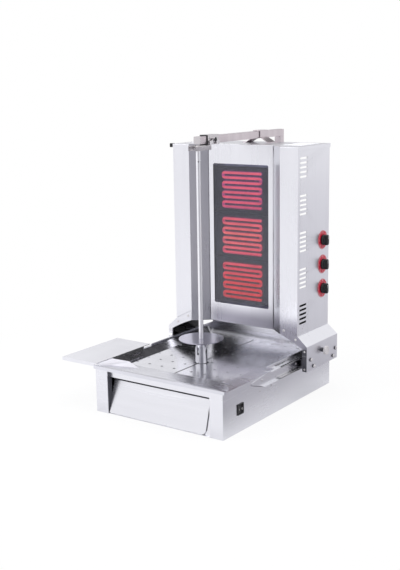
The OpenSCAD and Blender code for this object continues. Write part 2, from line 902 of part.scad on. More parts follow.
module tower_top() {
    back = tower_back_y + cover_over;
    low = tower_top_z - cover_drop;
    color("gainsboro") difference() {
        union() {
            along_z(column_top, sheet_t) tower_plan(tower_front, back);
            both_sides() block([tower_x, tower_front, low], [tower_x + cover_t, back, tower_top_z]);
            block([-tower_x, tower_back_y, low], [tower_x, back, tower_top_z]);
            block([-panel_x, panel_y, panel_top], [panel_x, panel_y + cover_t, tower_top_z]);
        }
        for (x = [-1, 1], i = [0 : 9]) translate([x * (tower_x - 70), tower_back_y - 24 - i * 14,
            column_top - through])
            linear_extrude(3 * through) slot(86, 6);
    }
}

module corner_block() {
    side = tower_x + cover_t;
    color("black") along_y(tower_front, 14) translate([-side - 6.5, tower_top_z - 6]) round_rect(13, 14, 2.5);
}

// Hat-shaped strap on the tower's top that rides along the bar
module arm_guide() {
    inner = arm_x + sliding_fit;
    knee = arm_z + guide_knee;
    top = arm_top + sliding_fit;
    color("silver") along_y(guide_y, guide_l) polygon(strip([[-guide_spread - guide_foot, tower_top_z],
        [-guide_spread, tower_top_z], [-inner, knee], [-inner, top], [inner, top], [inner, knee],
        [guide_spread, tower_top_z], [guide_spread + guide_foot, tower_top_z]], guide_t));
}

module front_panel() {
    color("gainsboro") difference() {
        along_z(tower_z, panel_top - tower_z) polygon(strip([[-panel_x, panel_y + panel_return], [-panel_x,
            panel_y],
            [panel_x, panel_y], [panel_x, panel_y + panel_return]], cover_t));
        along_y(panel_y - through, 2 * through) translate([0, window_z + window_h / 2])
            round_rect(window_w, window_h, window_r);
    }
}

module glass_window() {
    color("dimgray") along_y(panel_y + cover_t, glass_t) translate([0, window_z + window_h / 2])
        round_rect(window_w + 2 * glass_lap, window_h + 2 * glass_lap, window_r);
}

// Open-fronted box behind the glass, with a flange that meets the front panel's returns
module radiant_housing() {
    low = window_z - glass_lap - 6;
    high = window_z + window_h + glass_lap + 6;
    back = board_y + board_t;
    inside = panel_x - cover_t;
    color("darkgray") difference() {
        union() {
            block([-housing_x, glass_back, low], [housing_x, back + housing_t, high]);
            block([-inside, glass_back + 2, low], [inside, glass_back + 2 + housing_t, high]);
        }
        block([housing_t - housing_x, glass_back - through, low + housing_t], [housing_x - housing_t, back,
            high - housing_t]);
    }
}

module insulation_boards() {
    board_h = element_step - 4;
    board_x = housing_x - housing_t;
    color("whitesmoke") for (i = [-1 : 1]) {
        z = element_z + i * element_step;
        block([-board_x, board_y, z - board_h / 2], [board_x, board_y + board_t, z + board_h / 2]);
    }
}

// Serpentine tube of straight runs joined by half-round bends, with both free ends on the right
module element(z) {
    bend_r = run_step / 2;
    straight = element_w / 2 - bend_r - tube_d / 2;
    low = z - run_step * (runs - 1) / 2;
    color("tomato") translate([0, element_y, low]) {
        for (i = [0 : runs - 1]) {
            end = i == 0 || i == runs - 1 ? straight + bend_r : straight;
            rod_x(-straight, end, 0, i * run_step, tube_d);
        }
        for (i = [0 : runs - 2]) {
            side = i % 2 == 0 ? -1 : 1;
            translate([side * straight, 0, (i + 0.5) * run_step]) rotate([90, 0, 0]) rotate([0, 0,
                side * 90 - 180])
                rotate_extrude(angle = 180) translate([bend_r, 0]) circle(d = tube_d);
        }
    }
}

module element_top() {
    element(element_z + element_step);
}

module element_middle() {
    element(element_z);
}

module element_bottom() {
    element(element_z - element_step);
}

module energy_regulators() {
    face = tower_x - sheet_t;
    color("dimgray") for (i = [-1 : 1]) {
        z = dial_z + i * dial_step;
        difference() {
            union() {
                along_x(face - regulator_d, regulator_d) translate([dial_y, z]) round_rect(regulator_w,
                    regulator_w, 4);
                rod_x(face, tower_x + dial_t + 2, dial_y, z, bush_d);
            }
            rod_x(face - regulator_d + 4, tower_x + 20, dial_y, z, knob_shaft_d + 2 * running_fit);
        }
    }
}

module dial_plates() {
    color("crimson") for (i = [-1 : 1]) difference() {
        rod_x(tower_x, tower_x + dial_t, dial_y, dial_z + i * dial_step, dial_d);
        rod_x(tower_x - through, tower_x + through, dial_y, dial_z + i * dial_step, bush_d + 2 * bush_fit);
    }
}

// Turning knob with a grip bar, on the shaft of its regulator
module knob(z) {
    seat = tower_x + dial_t + knob_gap;
    color("black") translate([seat, dial_y, z]) rotate([0, 90, 0]) {
        difference() {
            union() {
                cylinder(d = knob_d, h = knob_skirt);
                intersection() {
                    cylinder(d = knob_d - 2, h = knob_h);
                    translate([-knob_d / 2, -grip_w / 2, 0]) cube([knob_d, grip_w, knob_h]);
                }
            }
            translate([0, 0, -through]) cylinder(d = bush_d + 4, h = through + 3);
        }
        translate([0, 0, -regulator_d + 2]) cylinder(d = knob_shaft_d, h = regulator_d + knob_skirt - 2);
    }
}

module knob_top() {
    knob(dial_z + dial_step);
}

module knob_middle() {
    knob(dial_z);
}

module knob_bottom() {
    knob(dial_z - dial_step);
}

module terminal_block() {
    base_y = tower_back_y - 50;
    ways = 5;
    color("ivory") difference() {
        block([-200, base_y, tower_z], [-200 + ways * 18, base_y + 28, tower_z + 24]);
        for (i = [0 : ways - 1], y = [7, 21]) translate([-191 + i * 18, base_y + y, tower_z + 14])
            cylinder(d = 7, h = 20);
    }
}

module switch_frame() {
    body = switch_size - 6;
    pocket = 2 * rocker_half + 3;
    color("black") translate([0, switch_y, switch_z]) difference() {
        union() {
            along_x(half_w, 2.5) round_rect(switch_size, switch_size, 3);
            along_x(half_w - 26, 26) square(body, center = true);
        }
        along_x(half_w - 12, 20) square(pocket, center = true);
        translate([rocker_pivot, 0, -body]) cylinder(d = pivot_d + 2 * running_fit, h = 2 * body);
    }
}

// Rocker with a shallow V face, pressed at its front end, on an upright pivot
module rocker() {
    half = rocker_half;
    color("black") translate([rocker_pivot, switch_y, switch_z]) {
        rotate([0, 0, -rocker_throw]) along_z(-half, 2 * half)
            polygon([[-5, 3 - half], [3, -half], [6.5, -half], [4.5, 0], [6.5, half], [3, half], [-5,
                half - 3]]);
        translate([0, 0, -half - 2]) cylinder(d = pivot_d, h = 2 * half + 4);
    }
}

module cable_gland() {
    color("black") difference() {
        union() {
            rod_y(rear_y - 14, rear_y + 8, gland_x, gland_z, gland_d);
            translate([gland_x, rear_y, gland_z]) rotate([-90, 0, 0]) cylinder(d = 25, h = 6, $fn = 6);
            translate([gland_x, rear_y + 6, gland_z]) rotate([-90, 0, 0]) cylinder(d1 = 21, d2 = 14, h = 15);
            translate([gland_x, rear_y - sheet_t - 5, gland_z]) rotate([-90, 0, 0]) cylinder(d = 25, h = 5,
                $fn = 6);
        }
        rod_y(rear_y - 30, rear_y + 40, gland_x, gland_z, 9);
    }
}

module arm_post() {
    inside = arm_x - arm_wall;
    color("rosybrown") difference() {
        block([-arm_x, post_y, post_foot_z], [arm_x, post_rear, arm_z]);
        block([-inside, post_y + arm_wall, post_foot_z - through], [inside, post_rear - arm_wall,
            arm_z + through]);
    }
}

module arm_bar() {
    inside = arm_x - arm_wall;
    color("rosybrown") difference() {
        block([-arm_x, bar_front, arm_z], [arm_x, post_rear, arm_top]);
        block([-inside, bar_front - through, arm_z + arm_wall], [inside, post_rear - arm_wall,
            arm_top - arm_wall]);
    }
}

module arm_end_cap() {
    inside = arm_x - arm_wall - 0.2;
    color("silver") {
        along_y(bar_front - cap_t, cap_t) translate([0, arm_z + arm_x]) round_rect(arm_w, arm_w, 2);
        block([-inside, bar_front - 1, arm_z + arm_x - inside], [inside, bar_front + 8,
            arm_z + arm_x + inside]);
    }
}

// Foot of the post: a plate on the base's rear wall with two cheeks that clasp the post
module arm_foot() {
    low = post_foot_z + foot_t;
    high = base_h - 2 * foot_t;
    color("gray") {
        along_y(rear_y, foot_t) translate([0, (low + high) / 2]) round_rect(foot_w,
            high - low + cheek_taper, foot_r);
        both_sides() along_x(arm_x, cheek_t) polygon([[rear_y + foot_t / 2, low], [post_rear,
            low + cheek_taper],
            [post_rear, high - cheek_taper], [rear_y + foot_t / 2, high]]);
    }
}

module holder_sleeve() {
    inner = arm_x + sliding_fit;
    color("silver") difference() {
        block([-sleeve_x, sleeve_y, sleeve_z], [sleeve_x, sleeve_y + sleeve_l,
            arm_top + sliding_fit + sleeve_t]);
        block([-inner, sleeve_y - through, arm_z - sliding_fit], [inner, sleeve_y + sleeve_l + through,
            arm_top + sliding_fit]);
        rod_x(0, sleeve_x + through, wing_y, wing_z, wing_d + 2 * running_fit);
    }
}

// Channel under the sleeve whose open slot steadies the top of the spindle
module holder_channel() {
    low = sleeve_z - channel_h;
    color("silver") difference() {
        along_y(channel_y, channel_l) polygon(strip([[sleeve_x, low], [sleeve_x, sleeve_z], [-sleeve_x,
            sleeve_z],
            [-sleeve_x, low]], sleeve_t));
        block([-pin_slot / 2, channel_y - through, sleeve_z - 2 * through], [pin_slot / 2, 0,
            sleeve_z + through]);
        cylinder_at(sleeve_z - 2 * through, 3 * through, pin_slot);
    }
}

// Wing bolt that clamps the sleeve on the bar
module wing_bolt() {
    hub = 15;
    start = sleeve_x + 0.4;
    lobe = 14;
    reach = 24;
    color("gray") translate([0, wing_y, wing_z]) {
        rod_x(arm_x + 0.3, start + 2, 0, 0, wing_d);
        rod_x(start, start + 10, 0, 0, hub);
        for (a = [-25, 205]) along_x(start + 3, 4) rotate(a) {
            translate([0, -4]) square([reach, 8]);
            translate([reach, 0]) circle(d = lobe);
        }
    }
}

// Thumb screw that locks the carriage against the base wall
module thumb_screw() {
    flutes = 10;
    head = bracket_x + thumb_reach;
    color("black") translate([0, thumb_y, thumb_z]) difference() {
        union() {
            rod_x(half_w + 0.5, head + 1, 0, 0, thumb_d);
            rod_x(bracket_x + 0.4, bracket_x + 3, 0, 0, 2.4 * thumb_d);
            rod_x(head, head + thumb_knob_h, 0, 0, thumb_knob_d);
            rod_x(head - 6, head + 1, 0, 0, 1.8 * thumb_d);
        }
        for (i = [0 : flutes - 1]) rotate([i * 360 / flutes, 0, 0])
            rod_x(head - 1, head + thumb_knob_h + 1, thumb_knob_d / 2 + 1.5, 0, 6);
    }
}

module thumb_screw_right() {
    thumb_screw();
}

module thumb_screw_left() {
    mirror([1, 0, 0]) thumb_screw();
}

// Domed heads on the brackets' sides, and on their front flanges and gussets
module bracket_screws() {
    side = [[bracket_y + 27, rail_z + 11], [bracket_y + 47, rail_z - 16], [bracket_back - 15, rail_z + 11],
        [bracket_back - 33, rail_z - 14]];
    face = [[bracket_x - 8, bracket_top - 17], [bracket_x - 8, bracket_z + 9], [gusset_x + 14, tower_z + 14],
        [tower_x - 6, tower_z - 13]];
    color("gray") both_sides() {
        for (p = side) translate([bracket_x, p[0], p[1]]) rotate([0, 90, 0]) dome(10, 3);
        for (p = face) translate([p[0], tower_front, p[1]]) rotate([90, 0, 0]) dome(7, 2);
    }
}

// Rail bolts and the rivets of the base walls
module base_screws() {
    rivet_z = rail_z - rail_h / 2 - 2 * rivet_d / 3 - 7;
    rivets = [-0.43 * rail_nose, 0.37 * rail_nose];
    bolts = [-0.3 * rail_nose, (rail_rear - rail_nose / 2) / 2, rail_rear - rail_nose / 3];
    color("gray") both_sides() {
        for (y = rivets) translate([half_w, y, rivet_z]) rotate([0, 90, 0]) dome(rivet_d, rivet_d / 4);
        for (y = bolts) translate([half_w + rail_t, y, rail_z]) rotate([0, 90, 0]) dome(bolt_d, bolt_d / 4);
    }
}

// Shelf that leans on the left wall with a prop plate and covers the left slope with an apron
module side_shelf() {
    outer = shelf_x - shelf_w;
    under = shelf_z - shelf_edge;
    back = shelf_y + shelf_d - shelf_t;
    past = apron_x + through;
    color("whitesmoke") {
        along_y(shelf_y, shelf_d)
            polygon(strip([[hook_x, shelf_z], [outer, shelf_z], [outer, under]], shelf_t));
        block([outer, shelf_y, under], [shelf_x, shelf_y + shelf_t, shelf_z]);
        block([outer, back, under], [shelf_x - 2 * rail_w, back + shelf_t, shelf_z]);
        block([hook_x - shelf_t, prop_front, prop_z], [hook_x, prop_rear, shelf_z]);
        difference() {
            along_y(apron_front, apron_rear - apron_front)
                polygon(strip([[apron_x, apron_z], [hook_x, shelf_z], [hook_x - shelf_t, shelf_z]], shelf_t));
            along_z(apron_z - 2 * through, 6 * through) {
                polygon([[hook_x, apron_rear], [apron_x, apron_tip], [past, apron_tip],
                    [past, apron_rear + through], [hook_x, apron_rear + through]]);
                polygon([[hook_x, apron_front], [apron_x, apron_front + apron_skew],
                    [past, apron_front + apron_skew], [past, apron_front - through],
                    [hook_x, apron_front - through]]);
                translate([apron_slot[0], apron_slot[1]]) rotate(90) slot(apron_slot[2], apron_slot[3]);
            }
        }
    }
}

base_shell();
base_floor();
drip_pan();
drawer_runners();
gear_motor();
motor_bridge();
socket_bearing();
switch_frame();
cable_gland();
rail_fixed_left();
rail_fixed_right();
arm_post();
arm_bar();
arm_foot();
arm_end_cap();
base_screws();
drawer_box();
drawer_front();
tray_left();
tray_right();
side_shelf();
drive_socket();
spindle();
cross_pin();
disc_hub();
meat_disc();
holder_sleeve();
holder_channel();
wing_bolt();
carriage_left();
carriage_right();
carriage_floor();
rail_spacers();
rail_moving_left();
rail_moving_right();
bracket_screws();
column_left();
column_right();
tower_back();
tower_top();
corner_block();
arm_guide();
front_panel();
glass_window();
radiant_housing();
insulation_boards();
element_top();
element_middle();
element_bottom();
energy_regulators();
dial_plates();
terminal_block();
knob_top();
knob_middle();
knob_bottom();
rocker();
thumb_screw_left();
thumb_screw_right();
ball_strip_left();
ball_strip_right();
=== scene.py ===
# %% [markdown]
# # Vertical kebab grill
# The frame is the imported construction: sheet-metal base, sliding heater tower, spindle and arm.
# It is loaded first, so every later piece can take its place from a node's box.

# %% Load the frame
import json
import math

import bmesh
import bpy
import numpy as np
from mathutils import Matrix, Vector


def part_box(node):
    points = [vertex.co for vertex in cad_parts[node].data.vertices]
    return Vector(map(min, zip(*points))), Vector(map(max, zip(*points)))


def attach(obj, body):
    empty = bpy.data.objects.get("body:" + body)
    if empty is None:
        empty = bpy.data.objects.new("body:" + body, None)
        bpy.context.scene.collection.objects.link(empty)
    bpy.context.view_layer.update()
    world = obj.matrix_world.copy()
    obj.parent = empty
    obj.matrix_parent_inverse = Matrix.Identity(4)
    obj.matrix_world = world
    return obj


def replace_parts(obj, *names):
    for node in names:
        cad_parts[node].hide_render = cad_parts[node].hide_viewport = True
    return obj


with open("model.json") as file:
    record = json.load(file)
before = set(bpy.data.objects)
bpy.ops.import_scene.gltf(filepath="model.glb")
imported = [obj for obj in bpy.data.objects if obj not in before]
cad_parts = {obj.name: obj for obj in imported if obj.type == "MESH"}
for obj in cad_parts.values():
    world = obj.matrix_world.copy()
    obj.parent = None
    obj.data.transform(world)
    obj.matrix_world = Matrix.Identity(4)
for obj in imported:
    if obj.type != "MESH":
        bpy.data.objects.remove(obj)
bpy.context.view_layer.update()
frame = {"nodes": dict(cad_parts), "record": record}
NODES = frame["nodes"]
MM = 0.001

# %% [markdown]
# ## Camera
# The viewpoint was worked out from straight edges of the base and the tower: 35.5 degrees to the
# right of the front, 12 degrees down, with a very slight roll. A camera matrix is built from the
# three directions right, up and back, which is exact and needs no tracking constraint.

# %% Camera
AZIMUTH, PITCH, ROLL = np.radians([35.53, 11.92, -0.94])
CAMERA_AT = (1.8434, -2.5832, 1.0919)
FOCAL_PX, IMAGE_H = 956.95, 570
SENSOR_MM, FAR_CLIP = 36.0, 50.0


def placed(x, y, z, at):
    """Matrix whose columns are an object's own three directions and its place."""
    turn = np.eye(4)
    turn[:3] = np.stack([x, y, z, at], axis=1)
    return Matrix(turn.tolist())


ahead = math.cos(PITCH)
back = np.array([math.sin(AZIMUTH) * ahead, -math.cos(AZIMUTH) * ahead, math.sin(PITCH)])
level = np.array([math.cos(AZIMUTH), math.sin(AZIMUTH), 0.0])
up = np.cross(back, level)
right = math.cos(ROLL) * level + math.sin(ROLL) * up
up = math.cos(ROLL) * up - math.sin(ROLL) * level

scene = bpy.context.scene
scene.view_settings.view_transform = "Standard"
lens = bpy.data.cameras.new("photo_camera")
lens.sensor_fit = "VERTICAL"
lens.sensor_height = SENSOR_MM
lens.lens = FOCAL_PX / IMAGE_H * SENSOR_MM
lens.clip_end = FAR_CLIP
camera = bpy.data.objects.new("photo_camera", lens)
camera.matrix_world = placed(right, up, back, CAMERA_AT)
scene.collection.objects.link(camera)
scene.camera = camera
print("camera:", round(lens.lens, 2), "mm lens")

# %% [markdown]
# ## Nodes and colours
# Colours are written as sRGB hex, the way colour charts give them, and one function turns them into
# the linear values that shaders use. One more function adds a shader node: plain values go to its
# sockets, an output of another node becomes a link, and a colour ramp gets its stops.


# %% Small helpers for materials
def srgb(code):
    """Linear RGBA of an sRGB hex colour: c / 12.92 below 0.04045, else ((c + 0.055) / 1.055) ** 2.4."""
    c = np.array([int(code[i:i + 2], 16) for i in (1, 3, 5)]) / 255
    linear = np.where(c <= 0.04045, c / 12.92, ((c + 0.055) / 1.055) ** 2.4)
    return (*linear.tolist(), 1.0)


def add(tree, kind, sockets=None, stops=(), **settings):
    """Adds a node with its settings, fills or links its sockets, and sets (position, hex colour) stops."""
    node = tree.nodes.new(kind)
    for name, value in settings.items():
        setattr(node, name, value)
    for name, value in (sockets or {}).items():
        socket = node.inputs[name]
        if isinstance(value, bpy.types.NodeSocket):
            tree.links.new(value, socket)
        else:
            socket.default_value = value
    for _ in stops[2:]:
        node.color_ramp.elements.new(0.5)
    for number, (place, code) in enumerate(stops):
        mark = node.color_ramp.elements[number]
        mark.position, mark.color = place, srgb(code)
    return node


def blank(name):
    """A new material with an empty node tree."""
    material = bpy.data.materials.new(name)
    material.use_nodes = True
    material.node_tree.nodes.clear()
    return material, material.node_tree


print("helpers ready")

# %% [markdown]
# ## Studio
# The machine stands on a plain white paper sweep in soft light. The camera sees the sweep as white,
# with a faint shadow near the machine. Steel shows its surroundings more than its own colour, so what
# the sweep and the world look like to a reflected ray matters most. To a reflected ray the sweep shows
# painted shade: white on the left, greyer on the right, greyest towards the camera and darker close to
# the machine, with a little painted glow. The world is near white, with a grey side behind the camera
# and a small dark patch high up behind on the left.

# %% Floor
FLOOR_SIZE = 14.0
CAMERA_WAY = (0.735, -0.678, 0.0)
NEAR_SHADE_REACH = {"From Min": 0.4, "From Max": 2.4}
CAMERA_WEDGE = {"From Min": 0.6, "From Max": 0.95}
RIGHT_SIDE = {"From Min": 0.22, "From Max": 0.5}
SHADOW_REACH = {"From Min": 0.5, "From Max": 1.3, "To Min": 0.88, "To Max": 1.0}
STEEL_GLOW, STEEL_GLOW_SHARE = 0.9, 0.4

half = FLOOR_SIZE / 2
floor_mesh = bpy.data.meshes.new("floor")
floor_corners = [(-half, -half, 0), (half, -half, 0), (half, half, 0), (-half, half, 0)]
floor_mesh.from_pydata(floor_corners, [], [(0, 1, 2, 3)])
floor = bpy.data.objects.new("floor", floor_mesh)
scene.collection.objects.link(floor)
print("floor:", FLOOR_SIZE, "m square")

# %% Paper of the sweep
# Matt paper scatters light evenly, so the camera sees a plain diffuse surface with the machine's real
# shadow. Other rays see painted shade: a grey tone that is darker close to the machine, on the right and
# towards the camera, with a painted glow added to the diffuse light.
paper, tree = blank("white_sweep_with_painted_shade")
place = add(tree, "ShaderNodeTexCoord").outputs["Object"]
reach = add(tree, "ShaderNodeVectorMath", {0: place}, operation="LENGTH").outputs["Value"]
far = add(tree, "ShaderNodeMapRange", {"Value": reach, **NEAR_SHADE_REACH}).outputs["Result"]
toward = add(tree, "ShaderNodeVectorMath", {0: place}, operation="NORMALIZE").outputs["Vector"]
toward = add(tree, "ShaderNodeVectorMath", {0: toward, 1: CAMERA_WAY}, operation="DOT_PRODUCT").outputs["Value"]
wedge = add(tree, "ShaderNodeMapRange", {"Value": toward, **CAMERA_WEDGE},
            interpolation_type="SMOOTHSTEP").outputs["Result"]
across = add(tree, "ShaderNodeSeparateXYZ", {"Vector": place}).outputs["X"]
right_hand = add(tree, "ShaderNodeMapRange", {"Value": across, **RIGHT_SIDE},
                 interpolation_type="SMOOTHSTEP").outputs["Result"]
# painted shade for reflected rays: greyer close to the machine, on the right and towards the camera
beside = add(tree, "ShaderNodeValToRGB", {"Fac": far}, stops=[
    (0.0, "#adabb2"), (0.18, "#b4b2b9"), (0.36, "#d0cfd4"), (1.0, "#e2e1e6")]).outputs["Color"]
near_camera = add(tree, "ShaderNodeValToRGB", {"Fac": far}, stops=[
    (0.0, "#7c7a82"), (1.0, "#a9a7ae")]).outputs["Color"]
shaded = add(tree, "ShaderNodeMix", {0: wedge, 6: beside, 7: near_camera}, data_type="RGBA").outputs[2]
tone = add(tree, "ShaderNodeMix", {0: right_hand, 6: srgb("#fcfcfe"), 7: shaded}, data_type="RGBA").outputs[2]
lit = add(tree, "ShaderNodeBsdfDiffuse", {"Color": tone}).outputs[0]
# painted light: the sweep glows a little for reflected rays
glow = add(tree, "ShaderNodeEmission", {"Color": tone, "Strength": STEEL_GLOW}).outputs[0]
seen_by_steel = add(tree, "ShaderNodeMixShader", {"Fac": STEEL_GLOW_SHARE, 1: lit, 2: glow}).outputs[0]
plain = add(tree, "ShaderNodeBsdfDiffuse", {"Color": srgb("#fdfdfd")}).outputs[0]
white = add(tree, "ShaderNodeEmission", {"Color": (1, 1, 1, 1), "Strength": 1.0}).outputs[0]
clear = add(tree, "ShaderNodeMapRange", {"Value": reach, **SHADOW_REACH}).outputs["Result"]
seen_by_camera = add(tree, "ShaderNodeMixShader", {"Fac": clear, 1: plain, 2: white}).outputs[0]
camera_ray = add(tree, "ShaderNodeLightPath").outputs["Is Camera Ray"]
surface = add(tree, "ShaderNodeMixShader", {"Fac": camera_ray, 1: seen_by_steel, 2: seen_by_camera})
add(tree, "ShaderNodeOutputMaterial", {"Surface": surface.outputs[0]})
floor_mesh.materials.append(paper)
print("sweep: white on the left, grey on the right")

# %% World
# Each darker side: its direction, the cosines where it starts and is full, and its tone.
DARK_SIDES = [((-0.35, 0.74, 0.574), 0.935, 0.972, "#1e1d21"), ((0.64, -0.75, 0.15), 0.72, 0.97, "#8a8a92")]

world = bpy.data.worlds.new("studio")
world.use_nodes = True
scene.world = world
tree = world.node_tree
tree.nodes.clear()
way = add(tree, "ShaderNodeTexCoord").outputs["Generated"]
tones = srgb("#fcfcff")
for side, start, end, code in DARK_SIDES:
    facing = add(tree, "ShaderNodeVectorMath", {0: way, 1: side}, operation="DOT_PRODUCT").outputs["Value"]
    share = add(tree, "ShaderNodeMapRange", {"Value": facing, "From Min": start, "From Max": end},
                interpolation_type="SMOOTHSTEP").outputs["Result"]
    tones = add(tree, "ShaderNodeMix", {0: share, 6: tones, 7: srgb(code)}, data_type="RGBA").outputs[2]
around = add(tree, "ShaderNodeBackground", {"Color": tones, "Strength": 1.0}).outputs[0]
white = add(tree, "ShaderNodeBackground", {"Color": (1, 1, 1, 1), "Strength": 1.0}).outputs[0]
ray = add(tree, "ShaderNodeLightPath").outputs
open_ray = add(tree, "ShaderNodeMath", {0: ray["Is Camera Ray"], 1: ray["Is Transmission Ray"]},
               operation="MAXIMUM").outputs[0]
surface = add(tree, "ShaderNodeMixShader", {"Fac": open_ray, 1: around, 2: white})
add(tree, "ShaderNodeOutputWorld", {"Surface": surface.outputs[0]})
print("world:", len(DARK_SIDES), "soft dark sides")

# %% Lamps
LAMP_AIM = (0.0, 0.1, 0.4)
LAMPS = [("soft_key", (-2.0, -2.4, 3.0), 2.4, 40.0), ("soft_top", (0.6, 0.4, 3.4), 2.0, 18.0)]
for name, at, size, power in LAMPS:
    lamp = bpy.data.lights.new(name, "AREA")
    lamp.shape, lamp.size, lamp.energy = "SQUARE", size, power
    z = np.array(at) - np.array(LAMP_AIM)
    z /= np.linalg.norm(z)
    x = np.cross((0.0, 0.0, 1.0), z)
    x /= np.linalg.norm(x)
    stand = bpy.data.objects.new(name, lamp)
    stand.matrix_world = placed(x, np.cross(z, x), z, at)
    scene.collection.objects.link(stand)
print("lamps: a key from the front left and a weak one above")

# %% [markdown]
# ## Brushed stainless steel
# Most of the machine is folded from stainless sheet with a ground finish: fine parallel scratches,
# which blur a reflection across their length, and faint broad bands where the belt pressed harder.
# Scratches on real sheet are about 0.1 mm wide. Here they are drawn 0.8 mm wide, so that they show.
# The noise is squeezed across the grain and stretched along it, and it drives roughness and bump.
# A finish may also carry painted shade: a greyer tint on faces that look to the front. On the tower it stands
# for the darker room that the low front of the tower mirrors, and on the tower's floor for the shade under
# the tower.

# %% Brushed steel
SCRATCH_MM, SCRATCH_LONG_MM, SCRATCH_DEEP_MM = 0.8, 1000 / 9, 0.1
BAND_MM, BAND_LONG_MM, SMUDGE_MM = 1000 / 45, 500.0, 1000 / 7
SCRATCH_SHARE, SMUDGE_SHARE, ROUGH_SPREAD = 0.4, 0.5, 0.06
NOISE_LOW, NOISE_HIGH = 0.3, 0.7
TO_FRONT = (0, -1, 0)


def brushed_steel(name, light, dark, grain, roughness, bump=0.06, painted_shade=None):
    """Metal whose colour, roughness and bump follow noise stretched along the grain axes (0 or 1 per axis).

    Painted shade, the last argument, is (z where it starts, z where it is full, the same two for x, tint):
    a smooth step of the height times a smooth step across, times how far a face looks to the front.
    """
    material, tree = blank(name)
    place = add(tree, "ShaderNodeTexCoord").outputs["Object"]
    scratch_scale = [1 / ((SCRATCH_LONG_MM if along else SCRATCH_MM) * MM) for along in grain]
    band_scale = [1 / ((BAND_LONG_MM if along else BAND_MM) * MM) for along in grain]
    squeezed = add(tree, "ShaderNodeMapping", {"Vector": place, "Scale": scratch_scale}).outputs[0]
    scratch = add(tree, "ShaderNodeTexNoise", {"Vector": squeezed, "Scale": 1.0, "Detail": 3.0}).outputs["Fac"]
    wide = add(tree, "ShaderNodeMapping", {"Vector": place, "Scale": band_scale}).outputs[0]
    band = add(tree, "ShaderNodeTexNoise", {"Vector": wide, "Scale": 1.0, "Detail": 2.0}).outputs["Fac"]
    smudge = add(tree, "ShaderNodeTexNoise",
                 {"Vector": place, "Scale": 1 / (SMUDGE_MM * MM), "Detail": 4.0}).outputs["Fac"]
    mixed = add(tree, "ShaderNodeMix", {0: SCRATCH_SHARE, 2: band, 3: scratch}).outputs[0]
    colour = add(tree, "ShaderNodeValToRGB", {"Fac": mixed},
                 stops=[(NOISE_LOW, dark), (NOISE_HIGH, light)]).outputs["Color"]
    # painted shade: a greyer tint on low faces that look to the front
    if painted_shade:
        z_none, z_full, x_none, x_full, tint = painted_shade
        axes = add(tree, "ShaderNodeSeparateXYZ", {"Vector": place}).outputs
        low = add(tree, "ShaderNodeMapRange", {"Value": axes["Z"], "From Min": z_none, "From Max": z_full},
                  interpolation_type="SMOOTHSTEP").outputs["Result"]
        beside = add(tree, "ShaderNodeMapRange", {"Value": axes["X"], "From Min": x_none, "From Max": x_full},
                     interpolation_type="SMOOTHSTEP").outputs["Result"]
        low = add(tree, "ShaderNodeMath", {0: low, 1: beside}, operation="MULTIPLY").outputs[0]
        normal = add(tree, "ShaderNodeNewGeometry").outputs["Normal"]
        facing = add(tree, "ShaderNodeVectorMath", {0: normal, 1: TO_FRONT},
                     operation="DOT_PRODUCT").outputs["Value"]
        share = add(tree, "ShaderNodeMath", {0: low, 1: facing}, operation="MULTIPLY", use_clamp=True).outputs[0]
        colour = add(tree, "ShaderNodeMix", {0: share, 6: colour, 7: srgb(tint)}, data_type="RGBA").outputs[2]
    spread = add(tree, "ShaderNodeMix", {0: SMUDGE_SHARE, 2: mixed, 3: smudge}).outputs[0]
    rough = add(tree, "ShaderNodeMapRange", {
        "Value": spread, "From Min": NOISE_LOW, "From Max": NOISE_HIGH,
        "To Min": roughness - ROUGH_SPREAD, "To Max": roughness + ROUGH_SPREAD}).outputs["Result"]
    relief = add(tree, "ShaderNodeBump", {
        "Height": scratch, "Strength": bump, "Distance": SCRATCH_DEEP_MM * MM}).outputs["Normal"]
    steel = add(tree, "ShaderNodeBsdfPrincipled", {
        "Base Color": colour, "Roughness": rough, "Metallic": 1.0, "Normal": relief})
    add(tree, "ShaderNodeOutputMaterial", {"Surface": steel.outputs[0]})
    return material


print("scratches are", SCRATCH_MM, "mm wide")

